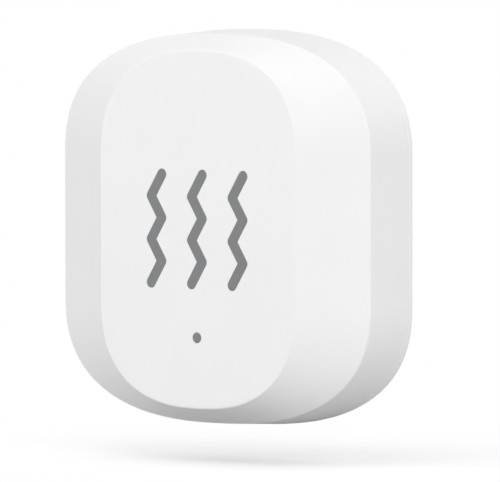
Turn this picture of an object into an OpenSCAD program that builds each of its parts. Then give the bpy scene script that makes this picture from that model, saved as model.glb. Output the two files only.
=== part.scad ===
// Vibration sensor tag: a rounded square box that sticks to a door, a window or a machine by its back.
// Every piece is drawn as if the wall were the ground: x to the right, y up the face, z off the wall.
// upright() then stands it up: the wall is the plane Y = 0 and the front face looks along -Y.

/* [Outline] */
// Width of the tag at its back
body_w = 45; // [43:0.5:60]
// Height of the tag at its back
body_h = 45; // [43:0.5:60]
// Length of the straight run on the left and right sides
straight_side = 16.4; // [10:0.2:20]
// Power of the curve that rounds the top and bottom, where 2 is an ellipse
corner_power = 2.45; // [2.2:0.05:3]

/* [Housing] */
// How far the side wall draws in from the back to the front edge
side_draft = 0.4; // [0.1:0.05:0.8]
// Depth of the sloped border round the front face
bevel_depth = 3.35; // [2.5:0.05:4]
// Width of the sloped border at the left and right
bevel_side = 8.1; // [6:0.1:9]
// Width of the sloped border at the top and bottom
bevel_end = 1.8; // [1:0.1:3]
// Wall thickness of the housing
wall = 1.5; // [1.2:0.1:1.8]
// Air between the radio's shield and the inside of the face
face_gap = 0.35; // [0.2:0.05:1]

/* [Symbol] */
// Zigzag strokes side by side
stroke_count = 3; // [1:1:3]
// Width of a stroke
stroke_w = 1.3; // [0.8:0.1:1.8]
// Distance between neighbouring strokes
stroke_pitch = 5.85; // [4.5:0.05:6.5]
// Sideways swing of a stroke from crest to crest
stroke_swing = 1.55; // [0.8:0.05:2]
// Height of one leg of a stroke
stroke_leg = 2.46; // [1.6:0.02:3]
// Legs in each stroke
stroke_legs = 5; // [3:1:6]
// Depth of the inlay that fills the strokes
inlay_depth = 0.2; // [0.1:0.05:0.5]

/* [Status light] */
// Diameter of the light's window
window_d = 1.25; // [0.8:0.05:2]
// Distance of the window below the middle of the face
window_drop = 12.25; // [11:0.25:13.5]
// Diameter of the light pipe's collar
collar_d = 3; // [2.4:0.1:4]
// Thickness of the light pipe's collar
collar_t = 0.8; // [0.4:0.1:1.2]
// Length of the light emitter
led_l = 1.6; // [1:0.1:2]
// Width of the light emitter
led_w = 0.8; // [0.5:0.1:1.2]
// Height of the light emitter's base
led_base_h = 0.3; // [0.2:0.05:0.5]
// Height of the light emitter's lens
led_lens_h = 0.3; // [0.2:0.05:0.5]

/* [Back cover] */
// Thickness of the cover's plate
cover_t = 1.4; // [1.2:0.1:2]
// Height of the lip that shows at the back edge
lip_h = 0.7; // [0.5:0.05:1]
// Height of the rim above the lip
rim_h = 2; // [1.4:0.1:2.6]
// Wall thickness of the rim
rim_wall = 1.2; // [0.8:0.1:1.6]
// Length of a snap bead
bead_l = 8; // [4:0.5:12]
// Height of a snap bead along the rim
bead_h = 0.6; // [0.4:0.1:0.8]
// How far a snap bead stands out of the rim
bead_proud = 0.08; // [0.04:0.01:0.09]
// Width of the notch that a nail opens the cover by
notch_w = 8; // [4:0.5:12]
// How far the notch reaches in from the edge
notch_reach = 1; // [0.5:0.1:1.2]
// Lip left standing behind the notch
notch_web = 0.3; // [0.2:0.05:0.4]

/* [Adhesive pad] */
// Thickness of the pad
pad_t = 0.8; // [0.6:0.1:1.5]
// Depth of the recess that the pad sits in
pad_recess = 0.3; // [0.1:0.05:0.4]
// Bare border of the cover round the pad
pad_border = 5; // [3:0.5:8]

/* [Circuit board] */
// Thickness of the board
board_t = 1; // [0.8:0.1:1.6]
// Gap between the board's edge and the housing
board_gap = 0.5; // [0.3:0.1:1]
// Sideways distance of the posts from the middle
post_x = 10.4; // [10.2:0.1:11]
// Upward distance of the posts from the middle
post_y = 14; // [13.5:0.1:14.5]
// Diameter of a post
post_d = 3.8; // [3.2:0.1:4]
// Diameter of the locating pin on a post
pin_d = 1.5; // [1:0.1:2]
// How far a pin stands out behind the board
pin_proud = 0.5; // [0.2:0.1:1]
// Thread diameter of a screw
screw_d = 2; // [1.6:0.1:2.2]
// Length of a screw below its head
screw_l = 3.6; // [2.6:0.1:3.8]
// Diameter of a screw's head
screw_head_d = 3.6; // [3:0.1:3.8]
// Height of a screw's head
screw_head_h = 1.3; // [0.8:0.1:1.6]
// Length of the cross slots in a screw's head
screw_slot_l = 2.2; // [1.2:0.1:2.6]
// Width of the cross slots in a screw's head
screw_slot_w = 0.5; // [0.3:0.1:0.7]
// Depth of the cross slots in a screw's head
screw_slot_depth = 0.7; // [0.3:0.1:0.7]

/* [Coin cell and holder] */
// Diameter of the cell
cell_d = 20; // [18:0.5:21]
// Thickness of the cell
cell_t = 3.2; // [2.4:0.1:5]
// Distance of the cell above the middle
cell_up = 4; // [3.5:0.25:5]
// Sheet thickness of the cell's can and cap
cell_sheet = 0.25; // [0.2:0.05:0.3]
// Height of the cell's cap
cap_h = 1.9; // [1:0.1:2]
// Width of the crimped rim on the cell's can
crimp_w = 0.8; // [0.6:0.1:1.2]
// Width of the gasket between can and cap
gasket_w = 0.4; // [0.3:0.05:0.6]
// Wall thickness of the holder
holder_wall = 1.4; // [1:0.1:1.6]
// Thickness of the holder's floor
holder_floor = 0.35; // [0.3:0.05:0.6]
// How much of the cell stands above the holder's wall
cell_grip = 0.6; // [0.3:0.1:1]
// Width of the two retaining hooks
hook_w = 6; // [4:0.5:8]
// Thickness of the hooks where they reach over the cell
hook_t = 0.25; // [0.2:0.05:0.4]
// How far the hooks reach over the cell
hook_reach = 0.8; // [0.4:0.1:1.2]
// Width of the gap that a finger nail lifts the cell through
finger_w = 9; // [7:0.5:12]
// Thickness of the contact strips
contact_t = 0.2; // [0.1:0.05:0.25]
// Width of the positive contact
positive_w = 5; // [3:0.5:6]
// Width of the negative contact
negative_w = 3.4; // [2:0.2:5]
// Length of the soldered foot of each contact
contact_foot = 1.8; // [1:0.1:2.2]
// Length of the negative contact past the middle of the cell
negative_reach = 3; // [2:0.5:6]
// Diameter of the raised spot on the negative contact
contact_spot_d = 3; // [1.5:0.5:3.5]

/* [Radio module] */
// Width of the module's board
radio_w = 16; // [14:0.5:16.5]
// Length of the module's board
radio_l = 20; // [19:0.5:22]
// Thickness of the module's board
radio_board_t = 0.8; // [0.6:0.1:1]
// Distance of the module above the middle
radio_up = 6; // [5.5:0.25:7]
// Width of the shield can
shield_w = 13; // [11:0.5:14]
// Length of the shield can
shield_l = 13.5; // [12:0.5:13.5]
// Height of the shield can
shield_h = 1.75; // [1.4:0.05:2]
// Sheet thickness of the shield can
shield_sheet = 0.2; // [0.1:0.05:0.3]
// Margin between the shield and the lower edge of the module
shield_margin = 0.6; // [0.3:0.1:0.8]
// Side of the square radio chip
chip_side = 5; // [4:0.5:6]
// Distance of the radio chip below the middle of the shield
chip_drop = 2.7; // [2:0.1:3.5]
// Height of the radio chip
chip_h = 0.85; // [0.6:0.05:1]
// Length of the crystal
crystal_l = 3.2; // [2:0.1:4]
// Width of the crystal
crystal_w = 2.5; // [1.6:0.1:2.8]
// Distance of the crystal above the middle of the shield
crystal_up = 3.4; // [2.5:0.1:4]
// Height of the crystal
crystal_h = 0.7; // [0.5:0.05:1]
// Fingers of the printed antenna
antenna_fingers = 8; // [4:2:8]
// Distance between neighbouring antenna fingers
antenna_pitch = 1.6; // [1.4:0.1:1.7]
// Width of the antenna's track
antenna_track = 0.6; // [0.4:0.1:0.8]
// Length of an antenna finger
antenna_l = 4; // [3:0.25:4]
// Thickness of the antenna's copper
antenna_t = 0.05; // [0.03:0.01:0.1]

/* [Small parts] */
// Side of the square vibration sensor chip
sensor_side = 3; // [2:0.5:4]
// Height of the vibration sensor chip
sensor_h = 1; // [0.7:0.1:1.2]
// Distance of the vibration sensor chip below the middle
sensor_drop = 7.5; // [7:0.25:8.5]
// Length of a chip capacitor or resistor
smd_l = 1.6; // [1:0.1:2]
// Width of a chip capacitor or resistor
smd_w = 0.8; // [0.5:0.1:1.2]
// Height of a chip capacitor
capacitor_h = 0.8; // [0.5:0.1:1.2]
// Height of a chip resistor
resistor_h = 0.45; // [0.3:0.05:0.6]
// Chips in a row on each side of the vibration sensor
smd_count = 4; // [2:1:5]
// Distance between neighbouring chips in a row
smd_pitch = 1.8; // [1.4:0.1:2]
// Sideways distance from the middle to the first chip of a row
smd_start = 3.6; // [3.2:0.1:4]
// Length of the bulk capacitor
bulk_l = 3.5; // [3:0.1:3.8]
// Width of the bulk capacitor
bulk_w = 2.8; // [2:0.1:3.5]
// Height of the bulk capacitor
bulk_h = 1.9; // [1.2:0.1:2.5]
// Sideways distance of the bulk capacitor from the middle
bulk_x = 5.6; // [5.4:0.1:6]

/* [Reset button] */
// Side of the button's square base
button_side = 4.6; // [4.2:0.1:5]
// Height of the button's base
button_base_h = 0.9; // [0.8:0.05:1.2]
// Distance of the button below the middle
button_drop = 14.5; // [14:0.1:15]
// Thickness of the floor under the button's snap dome
button_floor_t = 0.2; // [0.15:0.05:0.25]
// Sheet thickness of the button's frame
frame_sheet = 0.25; // [0.15:0.05:0.3]
// Height of the frame's two folded sides
frame_fold = 0.55; // [0.3:0.05:0.7]
// Diameter of the plunger
plunger_d = 2.2; // [1.8:0.1:2.6]
// How far the plunger stands out of its frame
plunger_reach = 1.5; // [0.8:0.1:1.8]
// Width of the flange that keeps the plunger in its frame
flange_w = 0.5; // [0.3:0.05:0.6]
// Thickness of the plunger's flange
flange_t = 0.2; // [0.15:0.05:0.25]
// Sheet thickness of the snap dome
dome_sheet = 0.08; // [0.05:0.01:0.1]
// Distance between the two terminals on one side of the button
terminal_pitch = 3; // [2:0.1:3.4]
// Length of a button terminal outside the base
terminal_l = 0.9; // [0.5:0.1:1.2]
// Width of a button terminal
terminal_w = 0.7; // [0.4:0.1:1]
// Thickness of a button terminal
terminal_t = 0.2; // [0.1:0.05:0.3]

/* [Fits] */
// Gap between pieces that are fixed together
fit_gap = 0.02; // [0.01:0.01:0.04]
// Gap between the housing and the cover's lip
seam_gap = 0.05; // [0.03:0.01:0.15]
// Gap between the housing and the rim at the rim's top
rim_gap = 0.12; // [0.1:0.01:0.2]
// Gap round the cell in its holder
cell_gap = 0.15; // [0.1:0.05:0.3]
// Gap round the pad in its recess
pad_gap = 0.15; // [0.05:0.05:0.5]
// Gap between the cell's hooks and the cover
cover_gap = 0.1; // [0.1:0.05:0.5]
// Gap round the plunger in its frame
plunger_gap = 0.15; // [0.1:0.01:0.25]
// Gap round screws and pins where they pass through the board
hole_gap = 0.1; // [0.05:0.05:0.2]

/* [Hidden] */
$fn = 64;

// Steps in each quarter of an outline
steps = 20;
// How far a cut runs past the face that it opens
cut = 1;

// Levels off the wall, from the back to the front
cover_back = pad_t - pad_recess;
cover_inside = cover_back + cover_t;
lip_top = cover_back + lip_h;
rim_top = lip_top + rim_h;
housing_back = lip_top + seam_gap;
hook_back = cover_inside + cover_gap;
cell_back = hook_back + hook_t + fit_gap;
cell_front = cell_back + cell_t;
board_back = cell_front + holder_floor;
board_front = board_back + board_t;
radio_front = board_front + radio_board_t;
shield_front = radio_front + shield_h;
cavity_face = shield_front + face_gap;
face = cavity_face + wall;
edge = face - bevel_depth;

// Half width and half height of each outline of the housing
body_half = [body_w, body_h] / 2;
edge_half = body_half - [side_draft, side_draft];
face_half = edge_half - [bevel_side, bevel_end];
wall_both = [wall, wall];

// The cavity runs parallel to the border, one wall inside it
slope = [bevel_side, bevel_end] / bevel_depth;
slant = [for (s = slope) sqrt(1 + s * s)];
cavity_back_half = body_half - wall_both;
cavity_edge_half = edge_half - wall_both;
cavity_face_half = face_half + wall * (slope - slant);
cavity_edge = edge - wall * max([for (i = [0, 1]) (slant[i] - 1) / slope[i]]);

function blend(low, high, share) = low + (high - low) * share;
function cavity_half(level) =
    level < cavity_edge
    ? blend(cavity_back_half, cavity_edge_half, (level - cover_back) / (cavity_edge - cover_back))
    : blend(cavity_edge_half, cavity_face_half, (level - cavity_edge) / (cavity_face - cavity_edge));
function grown(half, by) = half + [by, by];

rim_half = grown(cavity_half(rim_top), -rim_gap);
board_half = grown(cavity_half(board_front), -board_gap);
pad_half = grown(body_half, -pad_border);

// The bead sits in the middle of the rim's free height
bead_middle = (cover_inside + rim_top) / 2;

// Holder and contacts
holder_in = cell_d / 2 + cell_gap;
holder_out = holder_in + holder_wall;
holder_back = cell_back + cell_grip;
cell_lip = cell_d / 2 - crimp_w;
cap_r = cell_lip - gasket_w;
// Height of the crimped rim, which lies below the cap's flat
crimp_level = cell_front - cell_sheet;

// Light pipe, from the face down to just over the lens
led_top = board_front + led_base_h + led_lens_h;
pipe_end = led_top + 2 * fit_gap;

// Button levels, from the board towards the back
frame_inside = board_back - button_base_h;
frame_back = frame_inside - frame_sheet;
flange_back = frame_inside + fit_gap;
flange_front = flange_back + flange_t;
button_floor = board_back - button_floor_t;
flange_d = plunger_d + 2 * flange_w;
button_well_d = flange_d + 2 * plunger_gap;

// One quarter of an outline: a straight side, then a superelliptic round to the middle of the top
function quarter(half) = [
    for (i = [0:steps])
        let (turn = 90 * i / steps, straight = straight_side / 2, power = 2 / corner_power)
        [half[0] * pow(cos(turn), power), straight + (half[1] - straight) * pow(sin(turn), power)]
];
function outline(half) =
    let (q = quarter(half))
    concat(
        q,
        [for (i = [steps - 1:-1:0]) [-q[i][0], q[i][1]]],
        [for (p = q) -p],
        [for (i = [steps - 1:-1:0]) [q[i][0], -q[i][1]]]
    );

// A solid that runs through outlines of the given half sizes at rising levels
module loft(levels, halves) {
    count = len(outline(halves[0]));
    last = len(levels) - 1;
    points = [for (k = [0:last]) for (p = outline(halves[k])) [p[0], p[1], levels[k]]];
    sides = [
        for (k = [0:last - 1], i = [0:count - 1])
            let (low = k * count, high = low + count, j = (i + 1) % count)
            each [[low + i, high + i, high + j], [low + i, high + j, low + j]]
    ];
    back_end = [for (i = [0:count - 1]) i];
    front_end = [for (i = [count - 1:-1:0]) last * count + i];
    polyhedron(points, concat([back_end], sides, [front_end]));
}

module slab(half, low, high) {
    translate([0, 0, low]) linear_extrude(high - low) polygon(outline(half));
}

module rod(d, low, high) {
    translate([0, 0, low]) cylinder(d = d, h = high - low);
}

// A block centred on the z axis
module block(w, l, low, high) {
    translate([-w / 2, -l / 2, low]) cube([w, l, high - low]);
}

module upright() {
    rotate([90, 0, 0]) children();
}

module at_cell() {
    translate([0, cell_up, 0]) children();
}

module at_radio() {
    translate([0, radio_up, 0]) children();
}

module at_window() {
    translate([0, -window_drop, 0]) children();
}

module at_button() {
    translate([0, -button_drop, 0]) children();
}

// Screws take the posts at top right and bottom left, pins the other two
module at_posts(side) {
    for (s = [-1, 1]) translate([s * post_x, s * side * post_y, 0]) children();
}

// The middle of each side, as long as a snap bead
module bead_spans(room) {
    reach = 2 * max(body_w, body_h);
    low = bead_middle - bead_h / 2 - room;
    high = bead_middle + bead_h / 2 + room;
    block(bead_l + 2 * room, reach, low, high);
    block(reach, bead_l + 2 * room, low, high);
}

// Three zigzags of round-ended legs, each starting at its right-hand crest
module strokes(w) {
    crest = function (i) [
        (i % 2 == 0 ? 1 : -1) * stroke_swing / 2,
        (stroke_legs / 2 - i) * stroke_leg
    ];
    leg_l = norm([stroke_swing, stroke_leg]);
    lean = atan2(stroke_leg, stroke_swing);
    for (n = [0:stroke_count - 1]) translate([(n - (stroke_count - 1) / 2) * stroke_pitch, 0]) {
        for (i = [0:stroke_legs]) translate(crest(i)) circle(d = w);
        for (i = [0:stroke_legs - 1])
            translate((crest(i) + crest(i + 1)) / 2)
                rotate(i % 2 == 0 ? lean : -lean) square([leg_l, w], center = true);
    }
}

module back_cover() {
    color("gainsboro") upright() difference() {
        union() {
            slab(body_half, cover_back, lip_top);
            slab(rim_half, cover_back, rim_top);
            intersection() {
                slab(grown(rim_half, bead_proud), lip_top, rim_top);
                bead_spans(0);
            }
        }
        slab(grown(rim_half, -rim_wall), cover_inside, rim_top + cut);
        slab(grown(pad_half, pad_gap), cover_back - cut, cover_back + pad_recess);
        translate([0, -body_half[1], 0])
            block(notch_w, 2 * notch_reach, cover_back + notch_web, lip_top + cut);
    }
}

module adhesive_pad() {
    color("dimgray") upright() slab(pad_half, 0, pad_t);
}

module front_housing() {
    color("whitesmoke") upright() difference() {
        union() {
            difference() {
                loft([housing_back, edge, face], [body_half, edge_half, face_half]);
                loft(
                    [cover_back, cavity_edge, cavity_face],
                    [cavity_back_half, cavity_edge_half, cavity_face_half]
                );
            }
            for (side = [-1, 1]) at_posts(side) rod(post_d, board_front, cavity_face + wall / 2);
            at_posts(-1) rod(pin_d, board_back - pin_proud, cavity_face);
        }
        at_posts(1) rod(screw_d + 2 * fit_gap, board_front - cut, board_back + screw_l + hole_gap);
        at_window() rod(window_d + 2 * fit_gap, cavity_face - cut, face + cut);
        translate([0, 0, face - inlay_depth]) linear_extrude(inlay_depth + cut) strokes(stroke_w);
        intersection() {
            slab(grown(cavity_half(bead_middle), bead_proud), housing_back, rim_top + cut);
            bead_spans(bead_proud);
        }
    }
}

module vibration_symbol() {
    color("gray") upright() translate([0, 0, face - inlay_depth])
        linear_extrude(inlay_depth) strokes(stroke_w - 2 * fit_gap);
}

module light_pipe() {
    color("slategray") upright() at_window() {
        rod(window_d, cavity_face - collar_t, face);
        rod(collar_d, cavity_face - collar_t, cavity_face);
        rod(window_d, pipe_end, cavity_face - collar_t);
    }
}

module circuit_board() {
    color("seagreen") upright() difference() {
        slab(board_half, board_back, board_front);
        at_posts(1) rod(screw_d + 2 * hole_gap, board_back - cut, board_front + cut);
        at_posts(-1) rod(pin_d + 2 * hole_gap, board_back - cut, board_front + cut);
    }
}

module board_screws() {
    color("silver") upright() at_posts(1) difference() {
        union() {
            rod(screw_d, board_back - fit_gap, board_back + screw_l);
            rod(screw_head_d, board_back - screw_head_h, board_back);
        }
        for (turn = [0, 90])
            rotate(turn) block(
                screw_slot_l, screw_slot_w,
                board_back - screw_head_h - cut, board_back - screw_head_h + screw_slot_depth
            );
    }
}

module battery_holder() {
    color("darkslategray") upright() at_cell() difference() {
        union() {
            difference() {
                rod(2 * holder_out, holder_back, board_back);
                rod(2 * holder_in, holder_back - cut, cell_front);
            }
            intersection() {
                difference() {
                    rod(2 * holder_out, hook_back, board_back);
                    rod(2 * holder_in, hook_back + hook_t, cell_front);
                    rod(2 * (cell_d / 2 - hook_reach), hook_back - cut, cell_front);
                }
                block(2 * holder_out, hook_w, hook_back, holder_back + cut);
            }
        }
        translate([0, -holder_out, 0]) block(finger_w, holder_out, hook_back - cut, cell_front);
        translate([0, holder_out, 0]) block(
            positive_w + 2 * cell_gap, 2 * holder_wall + 2 * cell_gap, hook_back - cut, board_back + cut
        );
        translate([0, (negative_reach - holder_out) / 2, 0]) block(
            negative_w + 2 * cell_gap, negative_reach + holder_out + 2 * cell_gap,
            cell_front - cut, board_back + cut
        );
        rod(contact_spot_d + 2 * cell_gap, cell_front - cut, board_back + cut);
    }
}

// Strips lie flat on the board and end in a soldered foot outside the holder
module positive_contact() {
    blade = cell_d / 2 + fit_gap;
    foot_end = holder_out + contact_foot;
    color("lightsteelblue") upright() at_cell() {
        translate([0, (blade + foot_end) / 2, 0])
            block(positive_w, foot_end - blade, board_back - contact_t, board_back);
        translate([0, blade + contact_t / 2, 0])
            block(positive_w, contact_t, holder_back, board_back);
    }
}

module negative_contact() {
    foot_end = holder_out + contact_foot;
    color("lightsteelblue") upright() at_cell() {
        translate([0, (negative_reach - foot_end) / 2, 0])
            block(negative_w, negative_reach + foot_end, board_back - contact_t, board_back);
        rod(contact_spot_d, cell_front + fit_gap, board_back);
    }
}

// The can is the positive cup and lies towards the cover, with its rim crimped over the gasket
module coin_cell_can() {
    r = cell_d / 2;
    color("silver") upright() at_cell() rotate_extrude() polygon([
        [0, cell_back], [r, cell_back], [r, crimp_level], [cell_lip, crimp_level],
        [cell_lip, crimp_level - cell_sheet], [r - cell_sheet, crimp_level - cell_sheet],
        [r - cell_sheet, cell_back + cell_sheet], [0, cell_back + cell_sheet]
    ]);
}

module coin_cell_gasket() {
    color("black") upright() at_cell() difference() {
        rod(2 * (cell_lip - fit_gap), cell_back + cell_sheet + fit_gap, crimp_level);
        rod(2 * (cap_r + fit_gap), cell_back, cell_front);
    }
}

module coin_cell_cap() {
    color("lightgray") upright() at_cell() difference() {
        rod(2 * cap_r, cell_front - cap_h, cell_front);
        rod(2 * (cap_r - cell_sheet), cell_back, cell_front - cell_sheet);
    }
}

module coin_cell_electrodes() {
    color("dimgray") upright() at_cell() rod(
        2 * (cap_r - cell_sheet - fit_gap),
        cell_back + cell_sheet + fit_gap, cell_front - cell_sheet - fit_gap
    );
}

module radio_board() {
    color("darkgreen") upright() at_radio() block(radio_w, radio_l, board_front, radio_front);
}

// The shield stands at the lower end of the module and leaves the antenna free
module at_shield() {
    at_radio() translate([0, (shield_l - radio_l) / 2 + shield_margin, 0]) children();
}

module radio_shield() {
    color("silver") upright() at_shield() difference() {
        block(shield_w, shield_l, radio_front, shield_front);
        block(
            shield_w - 2 * shield_sheet, shield_l - 2 * shield_sheet,
            radio_front - cut, shield_front - shield_sheet
        );
    }
}

module radio_chip() {
    color("black") upright() at_shield() translate([0, -chip_drop, 0])
        block(chip_side, chip_side, radio_front, radio_front + chip_h);
}

module radio_crystal() {
    color("silver") upright() at_shield() translate([0, crystal_up, 0])
        block(crystal_l, crystal_w, radio_front, radio_front + crystal_h);
}

// One unbroken track that folds up and down across the free end of the module
module antenna_trace() {
    low = shield_l + shield_margin - radio_l / 2 + antenna_track;
    first = -(antenna_fingers - 1) / 2 * antenna_pitch;
    color("goldenrod") upright() at_radio() translate([0, low, radio_front])
        linear_extrude(antenna_t) {
            for (i = [0:antenna_fingers - 1])
                translate([first + i * antenna_pitch - antenna_track / 2, 0])
                    square([antenna_track, antenna_l]);
            for (i = [0:antenna_fingers - 2])
                translate([
                    first + i * antenna_pitch - antenna_track / 2,
                    i % 2 == 0 ? antenna_l - antenna_track : 0
                ])
                    square([antenna_pitch + antenna_track, antenna_track]);
        }
}

module accelerometer() {
    color("black") upright() translate([0, -sensor_drop, 0])
        block(sensor_side, sensor_side, board_front, board_front + sensor_h);
}

module status_led() {
    color("white") upright() at_window()
        block(led_l, led_w, board_front, board_front + led_base_h);
}

module status_led_lens() {
    color("lightyellow") upright() at_window() block(led_l / 2, led_w, board_front + led_base_h, led_top);
}

// A row of upright chips beside the vibration sensor, on its left or its right
module smd_row(side, h) {
    for (i = [0:smd_count - 1])
        translate([side * (smd_start + i * smd_pitch), -sensor_drop, 0])
            block(smd_w, smd_l, board_front, board_front + h);
}

module chip_capacitors() {
    color("peru") upright() smd_row(-1, capacitor_h);
}

module chip_resistors() {
    color("black") upright() smd_row(1, resistor_h);
}

module bulk_capacitor() {
    color("darkorange") upright() at_button() translate([-bulk_x, 0, 0])
        block(bulk_w, bulk_l, board_back - bulk_h, board_back);
}

module button_base() {
    color("black") upright() at_button() difference() {
        block(button_side, button_side, frame_inside, board_back);
        rod(button_well_d, frame_inside - cut, button_floor);
    }
}

// The frame closes the base and folds down two of its sides
module button_frame() {
    color("silver") upright() at_button() difference() {
        block(button_side, button_side + 2 * frame_sheet, frame_back, frame_inside + frame_fold);
        block(button_side + cut, button_side, frame_inside, board_back);
        rod(plunger_d + 2 * plunger_gap, frame_back - cut, board_back);
    }
}

module button_dome() {
    base_r = button_well_d / 2 - fit_gap;
    base_level = button_floor - fit_gap;
    rise = base_level - flange_front - fit_gap;
    dome_r = (base_r * base_r + rise * rise) / (2 * rise);
    color("gold") upright() at_button() intersection() {
        translate([0, 0, base_level - rise + dome_r]) difference() {
            sphere(r = dome_r);
            sphere(r = dome_r - dome_sheet);
        }
        rod(button_well_d, base_level - rise - cut, base_level);
    }
}

module button_terminals() {
    color("silver") upright() at_button() for (sx = [-1, 1], sy = [-1, 1])
        translate([sx * (button_side + terminal_l) / 2, sy * terminal_pitch / 2, 0])
            block(terminal_l, terminal_w, board_back - terminal_t, board_back);
}

module reset_plunger() {
    color("dimgray") upright() at_button() {
        rod(plunger_d, frame_back - plunger_reach, flange_front);
        rod(flange_d, flange_back, flange_front);
    }
}

back_cover();
adhesive_pad();
front_housing();
vibration_symbol();
light_pipe();
circuit_board();
board_screws();
battery_holder();
positive_contact();
negative_contact();
coin_cell_can();
coin_cell_gasket();
coin_cell_cap();
coin_cell_electrodes();
radio_board();
radio_shield();
radio_chip();
radio_crystal();
antenna_trace();
accelerometer();
status_led();
status_led_lens();
chip_capacitors();
chip_resistors();
bulk_capacitor();
button_base();
button_frame();
button_dome();
button_terminals();
reset_plunger();
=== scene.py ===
"""Looks of the vibration sensor tag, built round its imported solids.

Each piece is drawn in millimetres as if the wall were the ground: x to the right, y up the face and
h off the wall. STAND_UP then puts it in the frame, in metres, where the face looks along -Y.
"""
import math

import bmesh
import bpy
from mathutils import Matrix, Vector


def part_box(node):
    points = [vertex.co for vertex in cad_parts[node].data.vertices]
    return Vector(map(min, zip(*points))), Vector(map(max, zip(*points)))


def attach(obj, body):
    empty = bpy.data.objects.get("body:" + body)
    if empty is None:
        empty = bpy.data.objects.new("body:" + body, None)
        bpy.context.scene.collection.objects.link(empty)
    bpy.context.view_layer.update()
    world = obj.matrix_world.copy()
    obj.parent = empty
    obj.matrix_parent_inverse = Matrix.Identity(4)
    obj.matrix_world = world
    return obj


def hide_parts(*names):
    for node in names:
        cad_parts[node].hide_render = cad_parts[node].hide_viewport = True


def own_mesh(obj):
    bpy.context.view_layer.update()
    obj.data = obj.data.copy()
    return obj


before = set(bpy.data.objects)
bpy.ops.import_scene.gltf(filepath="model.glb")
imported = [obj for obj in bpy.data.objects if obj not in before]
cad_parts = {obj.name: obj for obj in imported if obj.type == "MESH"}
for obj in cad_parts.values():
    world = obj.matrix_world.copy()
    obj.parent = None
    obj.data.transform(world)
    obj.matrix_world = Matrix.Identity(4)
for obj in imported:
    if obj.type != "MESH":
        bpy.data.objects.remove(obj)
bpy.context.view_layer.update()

MM = 0.001
STAND_UP = Matrix(((MM, 0, 0, 0), (0, 0, -MM, 0), (0, MM, 0, 0), (0, 0, 0, 1)))


def extent(node):
    """Lowest and highest corner of a solid at rest, as (x, y, h) in millimetres."""
    low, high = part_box(node)
    return Vector((low.x, low.z, -high.y)) / MM, Vector((high.x, high.z, -low.y)) / MM


def middle(node):
    """Where the axis of a solid crosses the wall, as (x, y)."""
    low, high = extent(node)
    return ((low + high) / 2).xy


# Fineness of the meshes, and how they meet
ARC_STEPS = 6
EDGE_STEPS = 3
ROUND_PROFILE = 0.5
ROUND_STEPS = 48
SMALL_STEPS = 24
SAME_PLACE = 1e-4
CUT_PAST = 1

# Roundings of small edges
CRISP = 0.05
FINE = 0.1
SOFT = 0.2

# Outline: straight sides and superelliptic ends, the same for every shell of the tag
STRAIGHT = 8.2
POWER = 2.45
QUARTER_STEPS = 48

# Housing, with the sizes that its box doesn't give
housing_low, housing_high = extent("front_housing")
SIDE_DRAFT = 0.4
BEVEL_DEPTH = 3.35
BEVEL_SIDE = 8.1
BEVEL_END = 1.8
WALL = 1.5
EDGE_ROUND = 0.25
FACE_ROUND = 0.3
REAR_ROUND = 0.12
INNER_ROUND = 0.5
CAP_INSET = 0.6
body_half = housing_high.x
housing_back = housing_low.z
face_level = housing_high.z
edge_level = face_level - BEVEL_DEPTH
edge_half = body_half - SIDE_DRAFT
face_half_w = edge_half - BEVEL_SIDE
face_half_h = edge_half - BEVEL_END

# The cavity runs parallel to the border, one wall inside it
slope_w = BEVEL_SIDE / BEVEL_DEPTH
slope_h = BEVEL_END / BEVEL_DEPTH
cavity_level = face_level - WALL
cavity_face_w = face_half_w + WALL * (slope_w - math.hypot(1, slope_w))
cavity_face_h = face_half_h + WALL * (slope_h - math.hypot(1, slope_h))
cavity_edge_level = edge_level - WALL * (math.hypot(1, slope_w) - 1) / slope_w

# Back cover and pad
cover_low, cover_high = extent("back_cover")
pad_low, pad_high = extent("adhesive_pad")
SEAM_GAP = 0.05
PAD_RECESS = 0.3
PAD_GAP = 0.15
COVER_PLATE = 1.4
RIM_WALL = 1.2
RIM_GAP = 0.12
RIM_FILLET = 0.3
LIP_ROUND = 0.15
BEAD_L = 8
BEAD_H = 0.6
BEAD_PROUD = 0.08
BEAD_ROUND = 0.072
NOTCH_W = 8
NOTCH_REACH = 1
NOTCH_WEB = 0.3
PIN_MARK_R = 1.3
PIN_MARK_DEPTH = 0.15
PIN_MARK_REACH = 12.5
TAPE_FILM = 0.07
FILM_ROUND = 0.02
FOAM_SET_BACK = 0.12
cover_back = cover_low.z
cover_inside = cover_back + COVER_PLATE
lip_top = housing_back - SEAM_GAP
rim_top = cover_high.z
bead_level = (cover_inside + rim_top) / 2


def cavity_half(level):
    """Half width of the housing's cavity at a level behind its sloped part."""
    share = (level - cover_back) / (cavity_edge_level - cover_back)
    return body_half - WALL - SIDE_DRAFT * share


rim_half = cavity_half(rim_top) - RIM_GAP

# Board and posts
board_low, board_high = extent("circuit_board")
POST_X = 10.4
POST_Y = 14
POST_R = 1.9
PIN_R = 0.75
PIN_PROUD = 0.5
SCREW_R = 1
SCREW_FIT = 0.02
SCREW_ROOM = 0.1
SCREW_POSTS = ((POST_X, POST_Y), (-POST_X, -POST_Y))
PIN_POSTS = ((POST_X, -POST_Y), (-POST_X, POST_Y))
board_back = board_low.z
board_front = board_high.z
board_half = board_high.x

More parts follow.
